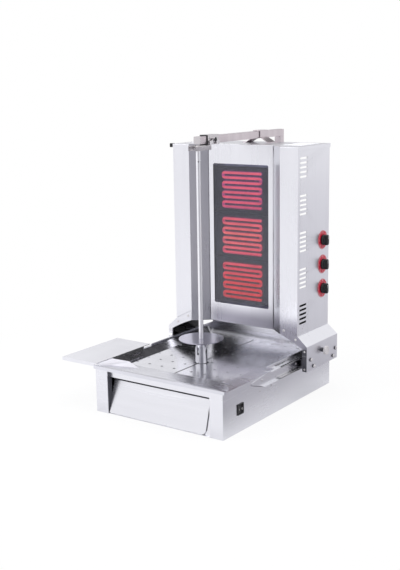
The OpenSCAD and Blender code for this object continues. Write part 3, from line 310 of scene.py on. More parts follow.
# %% Finishes of steel
LEVEL_GRAIN, UPRIGHT_GRAIN, DEPTH_GRAIN, WIDTH_GRAIN = (1, 1, 0), (0, 0, 1), (0, 1, 1), (1, 0, 1)
# Painted shade on faces that look to the front: on the tower's low front it stands for the darker room that it
# mirrors, and on the tower's floor for the shade in the cavity under the tower.
TOWER_PAINTED_SHADE = (0.315, 0.25, -0.17, -0.1, "#9c9aa4")
FLOOR_PAINTED_SHADE = (0.2, 0.222, -1.0, -0.9, "#85858d")
finishes = {
    # Ground sheet of the base and the tower: pale, with soft streaked reflections.
    "shell_steel": brushed_steel("brushed_stainless_shell", "#ececf0", "#e7e7eb", LEVEL_GRAIN, 0.25),
    "tower_steel": brushed_steel("brushed_stainless_tower", "#ebebef", "#e7e7eb", UPRIGHT_GRAIN, 0.30, 0.03,
                                 painted_shade=TOWER_PAINTED_SHADE),
    # Satin sheet that fat runs over: smoother, so that the spindle and the tower show in it.
    "pan_steel": brushed_steel("satin_stainless_pan", "#e2e2e8", "#d6d6dc", WIDTH_GRAIN, 0.25),
    "tray_steel": brushed_steel("satin_stainless_tray", "#eaeaee", "#e0e0e5", DEPTH_GRAIN, 0.17),
    # Turned, drawn and plated pieces: rings or lines left by the tool, and tighter highlights.
    "turned_steel": brushed_steel("turned_stainless", "#e8e8ec", "#d4d4da", LEVEL_GRAIN, 0.18),
    "screw_steel": brushed_steel("plated_screw_steel", "#e4e2e2", "#d2d0d2", LEVEL_GRAIN, 0.16),
    "drawn_rod": brushed_steel("bright_drawn_rod", "#ffffff", "#f2f2f6", UPRIGHT_GRAIN, 0.42),
    "disc_steel": brushed_steel("ground_stainless_disc", "#bebcc8", "#b0aeba", LEVEL_GRAIN, 0.22, 0.03),
    # Ground tube and channel of the arm: a little warmer and duller than the sheet.
    "arm_steel": brushed_steel("ground_steel_tube", "#d8d0d2", "#c6bcc0", WIDTH_GRAIN, 0.32),
    "holder_steel": brushed_steel("ground_steel_holder", "#d4d0d1", "#c4c0c1", WIDTH_GRAIN, 0.3, 0.03),
    # Plain sheets: the shelf, the tower's floor and the zinc-plated sheet inside. The tower's floor carries
    # painted shade on its faces that look to the front.
    "shelf_sheet": brushed_steel("brushed_stainless_shelf", "#ececf0", "#e8e8ec", DEPTH_GRAIN, 0.2, 0.03),
    "cavity_sheet": brushed_steel("stainless_floor_sheet", "#f0f0f4", "#e8e8ec", LEVEL_GRAIN, 0.2, 0.03,
                                  painted_shade=FLOOR_PAINTED_SHADE),
    "zinc_plate": brushed_steel("zinc_plated_sheet", "#c9c9cf", "#a9a9b0", LEVEL_GRAIN, 0.34),
}
print("brushed steels:", len(finishes))

# %% [markdown]
# ## Plastics, castings and plain coatings
# These are not bare metal to the eye: black phenolic knobs with a tight gloss, a printed red dial, a
# painted motor casting with a sandy skin, blackened plates and matt nickel on the screws. The black, the
# blackened plates and a matt white also serve as painted light: painted shade on pieces that lie in shade,
# and a painted sheen on the pan's corner. One function serves them all, since they differ in colour, gloss
# and the size of their grain.

# %% Plain mouldings
MOTTLE_MM, GRAIN_DEEP_MM, MOULD_IOR, MOULD_SPREAD = 1000 / 30, 0.2, 1.5, 0.05


def moulded(name, light, dark, roughness, grain_mm, bump):
    """Dielectric with mottled colour and a bumpy skin whose grains are grain_mm across."""
    material, tree = blank(name)
    place = add(tree, "ShaderNodeTexCoord").outputs["Object"]
    grain = add(tree, "ShaderNodeTexNoise",
                {"Vector": place, "Scale": 1 / (grain_mm * MM), "Detail": 3.0}).outputs["Fac"]
    mottle = add(tree, "ShaderNodeTexNoise",
                 {"Vector": place, "Scale": 1 / (MOTTLE_MM * MM), "Detail": 3.0}).outputs["Fac"]
    colour = add(tree, "ShaderNodeValToRGB", {"Fac": mottle},
                 stops=[(NOISE_LOW, dark), (NOISE_HIGH, light)]).outputs["Color"]
    rough = add(tree, "ShaderNodeMapRange", {
        "Value": mottle, "From Min": NOISE_LOW, "From Max": NOISE_HIGH,
        "To Min": roughness - MOULD_SPREAD, "To Max": roughness + MOULD_SPREAD}).outputs["Result"]
    relief = add(tree, "ShaderNodeBump", {
        "Height": grain, "Strength": bump, "Distance": GRAIN_DEEP_MM * MM}).outputs["Normal"]
    skin = add(tree, "ShaderNodeBsdfPrincipled", {
        "Base Color": colour, "Roughness": rough, "IOR": MOULD_IOR, "Normal": relief})
    add(tree, "ShaderNodeOutputMaterial", {"Surface": skin.outputs[0]})
    return material


mouldings = {
    # Knobs, rocker and bushes: near black with a clear gloss. It is also painted shade under the bracket
    # arches, in the joint between the trays, on the rail balls, in the spindle's pin hole and in the gap at the
    # sleeve's end.
    "black_plastic": moulded("black_phenolic_and_painted_shade", "#121215", "#0a0a0c", 0.24, 0.8, 0.08),
    # Terminal block and regulators: cream ceramic-filled plastic.
    "pale_plastic": moulded("cream_ceramic_plastic", "#e9e2cf", "#d8cfb8", 0.45, 1.2, 0.15),
    # Gear motor: grey paint over a sandy casting.
    "motor_casting": moulded("grey_painted_casting", "#6a6d73", "#54575d", 0.48, 1.6, 0.5),
    # Figures and marks: matt white ink.
    "white_print": moulded("white_printing_ink", "#f6f4f2", "#e6e2e0", 0.5, 1.0, 0.05),
    # Stems, collars and end plates: blackened steel without a mirror. It is also painted shade: under the
    # bracket screws' heads, on the thumb screws' necks, on the right end plate, round the drawer opening and
    # under the rail noses.
    "dark_zinc_and_painted_shade": moulded("blackened_steel_and_painted_shade", "#56565d", "#42424a", 0.38, 1.4, 0.2),
    # Dials: a red printed plate with a slight gloss.
    "red_dial": moulded("red_printed_plate", "#e4304a", "#d6263f", 0.32, 1.0, 0.05),
    # Corner of the pan: sheet with a matt, almost white surface, which paints the bright sheen of that corner.
    "corner_sheet": moulded("matt_corner_painted_sheen", "#efeef5", "#e9e8ef", 0.4, 1.2, 0.05),
    # Screw heads: satin nickel, which scatters more than it mirrors.
    "nickel_plate": moulded("satin_nickel_plate", "#ebe8e8", "#e0dcdc", 0.4, 1.2, 0.05),
}
finishes.update(mouldings)
print("mouldings:", len(mouldings))

# %% [markdown]
# ## Glass and glowing elements
# The window is a dark glass ceramic, smooth enough to mirror the room faintly and tinted so that
# little but the glow comes through. The tube elements behind it glow red, a little cooler and
# pinker at the top, and unevenly along their length. The colour follows the height, and falls off
# from the middle of each run of tube to its rim.

# %% Glass
HAZE_MM = 1000 / 12
glass, tree = blank("tinted_glass_ceramic")
place = add(tree, "ShaderNodeTexCoord").outputs["Object"]
haze = add(tree, "ShaderNodeTexNoise",
           {"Vector": place, "Scale": 1 / (HAZE_MM * MM), "Detail": 3.0}).outputs["Fac"]
rough = add(tree, "ShaderNodeMapRange", {"Value": haze, "To Min": 0.02, "To Max": 0.08}).outputs["Result"]
pane = add(tree, "ShaderNodeBsdfPrincipled", {
    "Base Color": srgb("#cfcfdc"), "Roughness": rough, "IOR": 1.5, "Transmission Weight": 1.0,
    "Coat Weight": 0.4, "Coat IOR": 1.55, "Coat Roughness": 0.04, "Coat Tint": srgb("#e6e6f4")})
add(tree, "ShaderNodeOutputMaterial", {"Surface": pane.outputs[0]})
finishes["dark_glass"] = glass
print("glass: tinted and faintly hazed")

# %% Elements
# Metal-sheathed tube at red heat: the eye sees its own light, with a dull skin under it.
RUN_STEP, ELEMENT_STEP, TUBE_R, RUNS = 17.4 * MM, 165 * MM, 5.0 * MM, 8
PATCH_MM = 1000 / 26
HEAT = {"From Min": NOISE_LOW, "From Max": NOISE_HIGH, "To Min": 1.2, "To Max": 1.65}
MIRRORED_GLOW = 0.15

low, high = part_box("element_bottom")[0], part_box("element_top")[1]
first_run = low.z + TUBE_R
hot, tree = blank("red_hot_element_tube")
place = add(tree, "ShaderNodeTexCoord").outputs["Object"]
axes = add(tree, "ShaderNodeSeparateXYZ", {"Vector": place}).outputs
height = add(tree, "ShaderNodeMapRange",
             {"Value": axes["Z"], "From Min": low.z, "From Max": high.z}).outputs["Result"]
core = add(tree, "ShaderNodeValToRGB", {"Fac": height}, stops=[
    (0.0, "#e8261c"), (0.17, "#ea2c22"), (0.22, "#ee4248"), (0.36, "#f05058"), (0.5, "#fa6c58"),
    (0.62, "#f2585a"), (0.7, "#f05060"), (1.0, "#f65c66")]).outputs["Color"]
edge = add(tree, "ShaderNodeValToRGB", {"Fac": height}, stops=[
    (0.0, "#b81c24"), (0.25, "#c22438"), (0.4, "#c23a56"), (0.62, "#c43c58"), (0.75, "#b0386c"),
    (1.0, "#b43a70")]).outputs["Color"]
above = add(tree, "ShaderNodeMath", {0: axes["Z"], 1: first_run}, operation="SUBTRACT").outputs[0]
above = add(tree, "ShaderNodeMath", {0: above, 1: ELEMENT_STEP}, operation="FLOORED_MODULO").outputs[0]
off_axis = add(tree, "ShaderNodeMath", {0: above, 1: RUN_STEP / 2}, operation="PINGPONG").outputs[0]
rim = add(tree, "ShaderNodeMapRange", {"Value": off_axis, "From Min": 0.35 * TUBE_R, "From Max": 1.1 * TUBE_R},
          interpolation_type="SMOOTHSTEP").outputs["Result"]
colour = add(tree, "ShaderNodeMix", {0: rim, 6: core, 7: edge}, data_type="RGBA").outputs[2]
patch = add(tree, "ShaderNodeTexNoise",
            {"Vector": place, "Scale": 1 / (PATCH_MM * MM), "Detail": 2.0}).outputs["Fac"]
heat = add(tree, "ShaderNodeMapRange", {"Value": patch, **HEAT}).outputs["Result"]
mirrored = add(tree, "ShaderNodeLightPath").outputs["Glossy Depth"]
weak = add(tree, "ShaderNodeMapRange",
           {"Value": mirrored, "To Min": 1.0, "To Max": MIRRORED_GLOW}).outputs["Result"]
strength = add(tree, "ShaderNodeMath", {0: heat, 1: weak}, operation="MULTIPLY").outputs[0]
tube = add(tree, "ShaderNodeBsdfPrincipled", {
    "Base Color": srgb("#7a2a24"), "Roughness": 0.5, "Emission Color": colour, "Emission Strength": strength})
add(tree, "ShaderNodeOutputMaterial", {"Surface": tube.outputs[0]})
finishes["glowing_element"] = hot
print("elements glow from", round(low.z, 3), "to", round(high.z, 3), "m")

# %% Boards behind the elements
# Pressed mineral fibre: dark, rough and fuzzy. The dim red halo where a run of tube lies on it is painted
# light: the tubes' red light falling on the board, drawn as the board's own glow.
FIBRE_MM, FIBRE_DEEP_MM = 1.5, 0.3
HALO_SIDE = (76 * MM, 88 * MM)
LAST_RUN = (RUNS - 1) * RUN_STEP
board, tree = blank("pressed_fibre_board")
place = add(tree, "ShaderNodeTexCoord").outputs["Object"]
axes = add(tree, "ShaderNodeSeparateXYZ", {"Vector": place}).outputs
fibre = add(tree, "ShaderNodeTexNoise",
            {"Vector": place, "Scale": 1 / (FIBRE_MM * MM), "Detail": 3.0}).outputs["Fac"]
colour = add(tree, "ShaderNodeValToRGB", {"Fac": fibre},
             stops=[(NOISE_LOW, "#2c2c36"), (NOISE_HIGH, "#383843")]).outputs["Color"]
relief = add(tree, "ShaderNodeBump",
             {"Height": fibre, "Strength": 0.4, "Distance": FIBRE_DEEP_MM * MM}).outputs["Normal"]
above = add(tree, "ShaderNodeMath", {0: axes["Z"], 1: first_run}, operation="SUBTRACT").outputs[0]
above = add(tree, "ShaderNodeMath", {0: above, 1: ELEMENT_STEP}, operation="FLOORED_MODULO").outputs[0]
off_axis = add(tree, "ShaderNodeMath", {0: above, 1: RUN_STEP / 2}, operation="PINGPONG").outputs[0]
beside = add(tree, "ShaderNodeMath", {0: axes["X"]}, operation="ABSOLUTE").outputs[0]
# painted light: the board's emission stands for the tubes' light falling on it
glow = None
for value, start, end, last in [(off_axis, 0, RUN_STEP / 2, 0.25), (beside, *HALO_SIDE, 0.0),
                                (above, LAST_RUN + 4 * MM, LAST_RUN + 12 * MM, 0.0)]:
    fade = add(tree, "ShaderNodeMapRange", {
        "Value": value, "From Min": start, "From Max": end, "To Min": 1.0, "To Max": last},
        interpolation_type="SMOOTHSTEP").outputs["Result"]
    if glow is None:
        glow = fade
    else:
        glow = add(tree, "ShaderNodeMath", {0: glow, 1: fade}, operation="MULTIPLY").outputs[0]
height = add(tree, "ShaderNodeMapRange",
             {"Value": axes["Z"], "From Min": low.z, "From Max": high.z}).outputs["Result"]
hue = add(tree, "ShaderNodeValToRGB", {"Fac": height}, stops=[
    (0.0, "#8c1c1e"), (0.3, "#8e2430"), (0.5, "#90304c"), (1.0, "#90387c")]).outputs["Color"]
skin = add(tree, "ShaderNodeBsdfPrincipled", {
    "Base Color": colour, "Roughness": 0.85, "Normal": relief, "Emission Color": hue, "Emission Strength": glow})
add(tree, "ShaderNodeOutputMaterial", {"Surface": skin.outputs[0]})
finishes["fibre_board"] = board
print("boards glow behind", RUNS, "runs of each element")

# %% [markdown]
# ## Finishing the construction
# Every node gets its finish. Sheet edges are never knife sharp, so each node also gets a Weld, which
# joins its loose triangles, and a small Bevel, which catches the light along the edges. Weighted
# normals then keep the large faces flat to the eye.

# %% Assign finishes and edges
EDGE, SHARP, JOIN = 0.45 * MM, math.radians(32), 0.002 * MM


def keep_flat(thing):
    """Normals weighted by face area, so that a bevel doesn't bend the shading of a large flat face."""
    flat = thing.modifiers.new("flat", "WEIGHTED_NORMAL")
    flat.weight, flat.keep_sharp = 100, True


slots = {part["node"]: part["material_slot"] for part in frame["record"]["subparts"]}
slots.update(spindle="drawn_rod", side_shelf="shelf_sheet", carriage_floor="cavity_sheet",
             meat_disc="disc_steel", holder_sleeve="holder_steel", arm_end_cap="holder_steel")
for name, node in NODES.items():
    node.material_slots[0].material = finishes[slots[name]]
    weld = node.modifiers.new("join", "WELD")
    weld.merge_threshold = JOIN
    bevel = node.modifiers.new("edges", "BEVEL")
    bevel.width, bevel.segments, bevel.limit_method, bevel.angle_limit = EDGE, 2, "ANGLE", SHARP
    keep_flat(node)
print("finished", len(NODES), "nodes")

# %% [markdown]
# ## Making pieces
# Small turned, moulded and bent pieces are worked out here as surfaces: grids of points, filled by a
# formula as whole arrays. One function joins grids into a mesh, merges the doubled points where
# grids meet or close on themselves, and points the faces outwards. Another carries a profile round
# an axis, which is how a lathe makes a screw head or a collar.

# %% Grids to pieces
DOUBLES, SLIVERS = 0.004 * MM, 0.002 * MM
HANDS = (-1, 1)


def grid_of(x, y, z):
    """One grid of points from x, y and z, each of them a number, a row, a column or a whole grid."""
    return np.stack(np.broadcast_arrays(x, y, z), axis=-1).astype(float)


def piece_of(name, grids, body, slot, finish=None, sharp=35):
    """Quads between neighbouring points of each grid, joined into one piece that rides on a body."""
    points, faces, start = [], [], 0
    for grid in grids:
        index = start + np.arange(grid.shape[0] * grid.shape[1]).reshape(grid.shape[:2])
        corners = [index[:-1, :-1], index[1:, :-1], index[1:, 1:], index[:-1, 1:]]
        faces.append(np.stack(corners, axis=-1).reshape(-1, 4))
        points.append(grid.reshape(-1, 3))
        start += index.size
    mesh = bpy.data.meshes.new(name)
    mesh.from_pydata((np.concatenate(points) * MM).tolist(), [], np.concatenate(faces).tolist())
    shell = bmesh.new()
    shell.from_mesh(mesh)
    bmesh.ops.remove_doubles(shell, verts=shell.verts, dist=DOUBLES)
    bmesh.ops.dissolve_degenerate(shell, edges=shell.edges, dist=SLIVERS)
    bmesh.ops.recalc_face_normals(shell, faces=shell.faces)
    shell.to_mesh(mesh)
    shell.free()
    mesh.polygons.foreach_set("use_smooth", np.ones(len(mesh.polygons), dtype=bool))
    mesh.set_sharp_from_angle(angle=math.radians(sharp))
    mesh.materials.append(finishes[finish or slot])
    piece = bpy.data.objects.new(name, mesh)
    scene.collection.objects.link(piece)
    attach(piece, body)
    print(name, "has", len(mesh.polygons), "faces")
    return piece


def thicken(piece, thickness_mm, offset=0.0):
    """Gives an open surface the thickness of its sheet, on both sides of it unless an offset is given."""
    wall = piece.modifiers.new("sheet", "SOLIDIFY")
    wall.thickness, wall.offset = thickness_mm * MM, offset
    keep_flat(piece)
    return piece


def turned(profile, centre, axis, steps=24):
    """Points of the profile, each a distance along the axis and a radius, carried once round the axis."""
    along, radius = np.array(profile, dtype=float).T
    axis = np.array(axis, dtype=float)
    side = np.cross(axis, (0.3, 0.5, 0.8))
    side /= np.linalg.norm(side)
    angle = np.linspace(0, 2 * np.pi, steps + 1)[:, None]
    ring = np.cos(angle) * side + np.sin(angle) * np.cross(axis, side)
    return np.array(centre) + along[:, None, None] * axis + radius[:, None, None] * ring


# %% [markdown]
# ## Screws
# The brackets are held by pan-head screws on dark collars, drawn dark as painted shade under the heads,
# and the rails and walls by flat rivets. Each is a lathe profile: a washer's rim, the head's quarter round,
# then a small round recess in its middle.

# %% Screw heads
BRACKET_X, BRACKET_FRONT, WALL_X, RAIL_X = 297.0, 207.0, 260.0, 261.5
WASHER_T, CROWN_TURN, CROWN_ROUND, RECESS = 1.0, 0.42 * np.pi, 0.6, 0.3


def head(radius, height, washer):
    """Profile of a head: a washer, then a crown that rises as a sine and narrows as a power of a cosine."""
    turn = np.linspace(0, CROWN_TURN, 9)
    crown = np.stack([WASHER_T + height * np.sin(turn), radius * np.cos(turn) ** CROWN_ROUND], axis=1)
    rim = [(0, washer), (WASHER_T, washer), (WASHER_T, radius)] if washer > radius else [(0, radius)]
    top, sunk, inner = WASHER_T + height, 0.4 + 0.5 * height, RECESS * radius
    return rim + crown.tolist() + [(top, inner), (sunk, inner), (sunk, 0)]


# %% Bracket screws
COLLAR_H, COLLAR_R = 3.0, 6.6
side_places = [(235, 147), (255, 120), (417, 147), (399, 122)]
face_places = [(289, 180), (289, 117), (206, 245), (253, 218)]
on_sides = [(hand, y, z) for hand in HANDS for y, z in side_places]
on_faces = [(hand * x, z) for hand in HANDS for x, z in face_places]

# painted shade: the collars are drawn dark for the shade under each screw head
shade_collar = [(0, 0), (0, COLLAR_R), (COLLAR_H, COLLAR_R), (COLLAR_H, 0)]
grids = [turned(shade_collar, (hand * BRACKET_X, y, z), (hand, 0, 0)) for hand, y, z in on_sides]
piece_of("bracket_screw_shade_collars", grids, "carriage", "screw_steel", "dark_zinc_and_painted_shade")

seat = BRACKET_X + COLLAR_H - WASHER_T
grids = [turned(head(5.8, 4.0, 5.8), (hand * seat, y, z), (hand, 0, 0)) for hand, y, z in on_sides]
grids += [turned(head(3.5, 1.6, 4.4), (x, BRACKET_FRONT, z), (0, -1, 0)) for x, z in on_faces]
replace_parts(piece_of("bracket_screw_set", grids, "carriage", "screw_steel", "nickel_plate"), "bracket_screws")

# %% Base rivets
RIVET_H = 0.9
rivet_places = [(WALL_X, -39.1, 103.3, 3.5), (WALL_X, 33.7, 103.3, 3.5), (RAIL_X, -27.3, 136, 4.4),
                (RAIL_X, 197.2, 136, 4.4), (RAIL_X, 409.7, 136, 4.4)]
grids = [turned(head(r, RIVET_H, r), (hand * x, y, z), (hand, 0, 0))
         for hand in HANDS for x, y, z, r in rivet_places]
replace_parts(piece_of("base_rivet_set", grids, "base", "screw_steel"), "base_screws")

# %% [markdown]
# ## Thumb screws
# A metal thumb screw on each side locks the tower where it has been slid to. Its head is a disc with
# a knurled rim: the radius is a cosine of the angle, which gives even flutes without any cutting.

# %% Thumb screws
THUMB_Y, THUMB_Z, FLUTES, FLUTE_DEEP, RIM_SHARE = 316.0, 164.0, 36, 0.6, 0.7


def fluted(profile, centre, axis, flutes, depth, steps=120):
    """A turned surface whose radius falls by depth times (1 - cos(flutes * angle)) / 2 near its rim."""
    grid = turned(profile, centre, axis, steps)
    along = np.array(profile, dtype=float)[:, 0, None, None] * np.array(axis, dtype=float)
    middle = np.array(centre) + along
    angle = np.linspace(0, 2 * np.pi, steps + 1)[:, None]
    reach = np.linalg.norm(grid - middle, axis=2, keepdims=True)
    fall = depth * (1 - np.cos(flutes * angle)) / 2 * (reach > RIM_SHARE * reach.max())
    return middle + (grid - middle) * (1 - fall / np.maximum(reach, 1e-6))


stem = [(-36.5, 0), (-36.5, 3.4), (-35.5, 4), (0.4, 4), (0.4, 7.4), (5.4, 7.4), (6.2, 6.6), (6.2, 2.8),
        (12.4, 2.8), (12.4, 0)]
disc = [(12.5, 0), (12.5, 14.4), (13.6, 15.5), (20.5, 15.5), (21.6, 14.4), (21.6, 11), (20.9, 10.2), (20.9, 0)]
for hand, side in zip(HANDS, ("left", "right")):
    at, way, body = (hand * BRACKET_X, THUMB_Y, THUMB_Z), (hand, 0, 0), side + "_thumb_screw"
    # painted shade: the steel stem is drawn dark, for the shade of its neck under the disc
    piece_of("thumb_screw_stem_" + side, [turned(stem, at, way, 48)], body, "screw_steel", "dark_zinc_and_painted_shade")
    rim = fluted(disc, at, way, FLUTES, FLUTE_DEEP)
    screw = piece_of("thumb_screw_disc_" + side, [rim], body, "screw_steel", "nickel_plate")
    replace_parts(screw, "thumb_screw_" + side)

# %% [markdown]
# ## Control knobs and dials
# Each regulator has a black knob: a round skirt that narrows into an upright bar to grip. Its section
# is a superellipse, so one formula runs from a circle to a rounded bar as it is carried up the axis.
# A white line on its end shows where it points. The red dial behind carries plain numbers and a ring.


# %% Knobs
def superellipse(levels, centre, steps=96):
    """At each level, |y / a| ** n + |z / b| ** n = 1 in the plane that lies so far along X."""
    along, a, b, n = np.array(levels, dtype=float).T[:, :, None]
    angle = np.linspace(0, 2 * np.pi, steps + 1)
    y = a * np.sign(np.cos(angle)) * np.abs(np.cos(angle)) ** (2 / n)
    z = b * np.sign(np.sin(angle)) * np.abs(np.sin(angle)) ** (2 / n)
    return np.array(centre) + grid_of(along, y, z)


def slab(low, high):
    """A block between two corners: its ring of four sides at both ends in X, each drawn to a middle point."""
    low, high = np.array(low), np.array(high)
    (_, y, z), (_, deep, tall) = (low + high) / 2, (high - low) / 2
    x = np.array([low[0], low[0], high[0], high[0]])[:, None]
    spread = np.array([0, 1, 1, 0])[:, None]
    return grid_of(x, y + deep * spread * np.array([-1, 1, 1, -1, -1]),
                   z + tall * spread * np.array([-1, -1, 1, 1, -1]))


KNOB_SEAT, KNOB_TOP = 260.8, 281.8
SHAFT = [(-36, 0), (-36, 3), (0, 3), (0, 6)]
KNOB_LEVELS = [(0, 6, 6, 2), (0, 18.2, 18.2, 2), (0.8, 18.8, 18.8, 2), (4.2, 18.6, 18.8, 2),
               (5.2, 17.4, 18.6, 2.1), (6.2, 13.5, 18.6, 2.3), (7.4, 10.8, 18.6, 2.7), (10, 9.6, 18.6, 3.1),
               (15, 9.0, 18.4, 3.4), (18.6, 8.5, 18.0, 3.5), (20.2, 7.6, 17.2, 3.4), (21, 5.8, 15.4, 3.2),
               (21, 0, 0, 3.0)]
POINTER_LOW, POINTER_HIGH = np.array([-0.6, -0.9, 3.0]), np.array([0.25, 0.9, 14.0])
knob_middles = {}
for knob, body in [("knob_top", "upper_knob"), ("knob_middle", "middle_knob"), ("knob_bottom", "lower_knob")]:
    low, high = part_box(knob)
    y, z = (low.y + high.y) / 2 / MM, (low.z + high.z) / 2 / MM
    knob_middles[knob] = (y, z)
    shaft = turned(SHAFT, (KNOB_SEAT, y, z), (1, 0, 0))
    grip = superellipse(KNOB_LEVELS, (KNOB_SEAT, y, z))
    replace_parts(piece_of(knob + "_grip", [shaft, grip], body, "black_plastic", sharp=40), knob)
    line = slab(POINTER_LOW + (KNOB_TOP, y, z), POINTER_HIGH + (KNOB_TOP, y, z))
    piece_of(knob + "_pointer", [line], body, "pale_plastic", "white_print")

# %% Dial marks
PRINT_X, PRINT_T = 260.32, 0.1
DIAL_TURN, NUMBERS, FIGURE_R, FIGURE_H = math.radians(270), 7, 26.6, 7.5
RING_R, RING_STEPS = np.array([31.3, 32.3])[:, None], 97


def figure(text, height, y, z):
    """A printed figure as a flat mesh on the dial, as an array of points and a list of faces."""
    letters = bpy.data.curves.new("figure", "FONT")
    letters.body, letters.size, letters.align_x, letters.align_y = text, height, "CENTER", "CENTER"
    holder = bpy.data.objects.new("figure", letters)
    flat = holder.to_mesh()
    points = np.empty(len(flat.vertices) * 3)
    flat.vertices.foreach_get("co", points)
    across, upward, _ = points.reshape(-1, 3).T
    faces = [np.array(face.vertices) for face in flat.polygons]
    holder.to_mesh_clear()
    bpy.data.objects.remove(holder)
    return grid_of(PRINT_X, y + across, z + upward), faces


points, faces, start = [], [], 0
for y, z in knob_middles.values():
    for number in range(NUMBERS):
        angle = number / (NUMBERS - 1) * DIAL_TURN
        spot, outline = figure(str(number), FIGURE_H, y + FIGURE_R * math.sin(angle),
                               z + FIGURE_R * math.cos(angle))
        points.append(spot)
        faces += [(start + face).tolist() for face in outline]
        start += len(spot)
    angle = np.linspace(0, 2 * np.pi, RING_STEPS)
    points.append(grid_of(PRINT_X, y + RING_R * np.sin(angle), z + RING_R * np.cos(angle)).reshape(-1, 3))
    inner, outer = start + np.arange(2 * RING_STEPS).reshape(2, RING_STEPS)
    faces += np.stack([inner[:-1], outer[:-1], outer[1:], inner[1:]], axis=-1).tolist()
    start += 2 * RING_STEPS
print_mesh = bpy.data.meshes.new("dial_figures")
print_mesh.from_pydata((np.concatenate(points) * MM).tolist(), [], faces)
print_mesh.materials.append(finishes["white_print"])
figures = bpy.data.objects.new("dial_figures", print_mesh)
scene.collection.objects.link(figures)
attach(figures, "carriage")
thicken(figures, PRINT_T)
print("dial figures:", len(faces), "faces")

# %% [markdown]
# ## Drawer front
# The grease drawer's front is one sheet that leans back. A flat panel takes up most of it, with a round
# corner low on the right, and the sheet steps back beyond it. A shallow crease runs along an arc near
# the top, and there the sheet is folded back to the drawer's box. All of it is one height field: the
# lean, the step and the crease are added up.


# %% Drawer front
DRAWER_X0, DRAWER_X1, DRAWER_LOW, DRAWER_TOP = -207.5, 207.5, 2.6, 113.0
DRAWER_Y, DRAWER_LEAN, DRAWER_BOX_Y, DRAWER_T = -252.0, 31.0, -215.0, 1.5
PANEL_X, CORNER_R, PANEL_STEP, STEP_W = 189.0, 16.0, 5.0, 2.5
CREASE_DROP, CREASE_SAG, CREASE_W, FOLD_RISE = 6.0, 13.0, 5.0, 2.0


def smooth(t):
    """Smooth step: 3 t**2 - 2 t**3 with t held between 0 and 1."""
    t = np.clip(t, 0, 1)
    return t * t * (3 - 2 * t)


def drawer_sheet(rows=65):
    """Leaning sheet: y rises with z, steps back outside a panel with one round corner, dips along an arc."""
    x = np.concatenate([np.linspace(DRAWER_X0, PANEL_X - 20, 60), np.linspace(PANEL_X - 19, PANEL_X + 6, 40),
                        np.linspace(PANEL_X + 8, DRAWER_X1, 8)])[None, :]
    z = np.linspace(DRAWER_LOW, DRAWER_TOP, rows)[:, None]
    outside, below = np.clip(x - PANEL_X + CORNER_R, 0, None), np.clip(DRAWER_LOW + CORNER_R - z, 0, None)
    step = PANEL_STEP * smooth((np.hypot(outside, below) - CORNER_R) / STEP_W)
    across = 2 * (x - DRAWER_X0) / (PANEL_X - DRAWER_X0) - 1
    sag = np.clip(1 - across ** 2, 0, None)
    arc = DRAWER_TOP - CREASE_DROP - CREASE_SAG * sag
    dip = -1.0 * sag * np.exp(-((z - arc) / CREASE_W) ** 2)
    y = DRAWER_Y + DRAWER_LEAN * (z - DRAWER_LOW) / (DRAWER_TOP - DRAWER_LOW) + step + dip
    return grid_of(x, y, z)


sheet = drawer_sheet()
top = sheet[-1]
back_edge = top * (1, 0, 0) + np.array([0, DRAWER_BOX_Y, DRAWER_TOP + FOLD_RISE])
fold = np.stack([top, (top + back_edge) / 2 + (0, 0, 0.4), back_edge])
cheeks = [np.stack([edge, edge * (1, 0, 1) + (0, DRAWER_BOX_Y, 0)]) for edge in (sheet[:, 0], sheet[:, -1])]
front = piece_of("drawer_front_sheet", [sheet, fold] + cheeks, "drawer", "shell_steel", sharp=25)
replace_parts(thicken(front, DRAWER_T, -1.0), "drawer_front")

# %% [markdown]
# ## Bracket end plates and painted shade under the arches
# Each bracket's front flange carries a steel plate with a raised middle, bare on the left and drawn dark on
# the right as painted shade, for the shade and dark reflection on that flange. Its depth follows the height,
# times a rise across its width. Inside, a dark sheet follows the bracket's bend as painted shade: it stands
# for the shadow under the arch, which is what shows there.

# %% Bracket end plates
PLATE_Z = np.array([108.5, 109.5, 130, 133, 163, 166, 186, 187])[:, None]
PLATE_DEEP = np.array([0.2, 1.4, 1.4, 3.4, 3.4, 1.4, 1.4, 0.2])[:, None]
PLATE_X = np.array([280.5, 280.5, 281.5, 295.5, 296.5, 296.5])
PLATE_RISE = np.array([0.0, 0.6, 1.0, 1.0, 0.6, 0.0])
# painted shade: the right plate is drawn dark for the shade on its flange; the left one stays bare steel
for hand, name, finish in [(-1, "bracket_end_plate_left", "shell_steel"),
                           (1, "bracket_end_plate_right", "dark_zinc_and_painted_shade")]:
    plate = grid_of(hand * PLATE_X, BRACKET_FRONT - PLATE_DEEP * PLATE_RISE, PLATE_Z)
    thicken(piece_of(name, [plate], "carriage", "zinc_plate", finish, sharp=20), 0.2)

# %% Painted shade inside the brackets
ARCH_SHADE_X, ARCH_SHADE_Z = np.array([294.6, 294.6, 256.2]), np.array([110.0, 195.9, 228.2])
ARCH_SHADE_Y = np.array([209.6, 428.0])[:, None]
# painted shade: black sheets along the brackets' bends, for the shadow under the arches
arch_shades = [grid_of(hand * ARCH_SHADE_X, ARCH_SHADE_Y, ARCH_SHADE_Z) for hand in HANDS]
thicken(piece_of("bracket_arch_shade", arch_shades, "carriage", "zinc_plate", "black_plastic", sharp=20), 0.4)

# %% [markdown]
# ## Drawer opening and pan corner
# Dark sheet round the drawer opening is painted shade: it gives the drawer its thin dark outline, where the
# opening lies in shade. A pale plate lies over the front left corner of the pan, its almost white matt
# finish a painted sheen. It is flat on top and runs down to the pan in three facets, so two outlines and a
# middle point are enough.

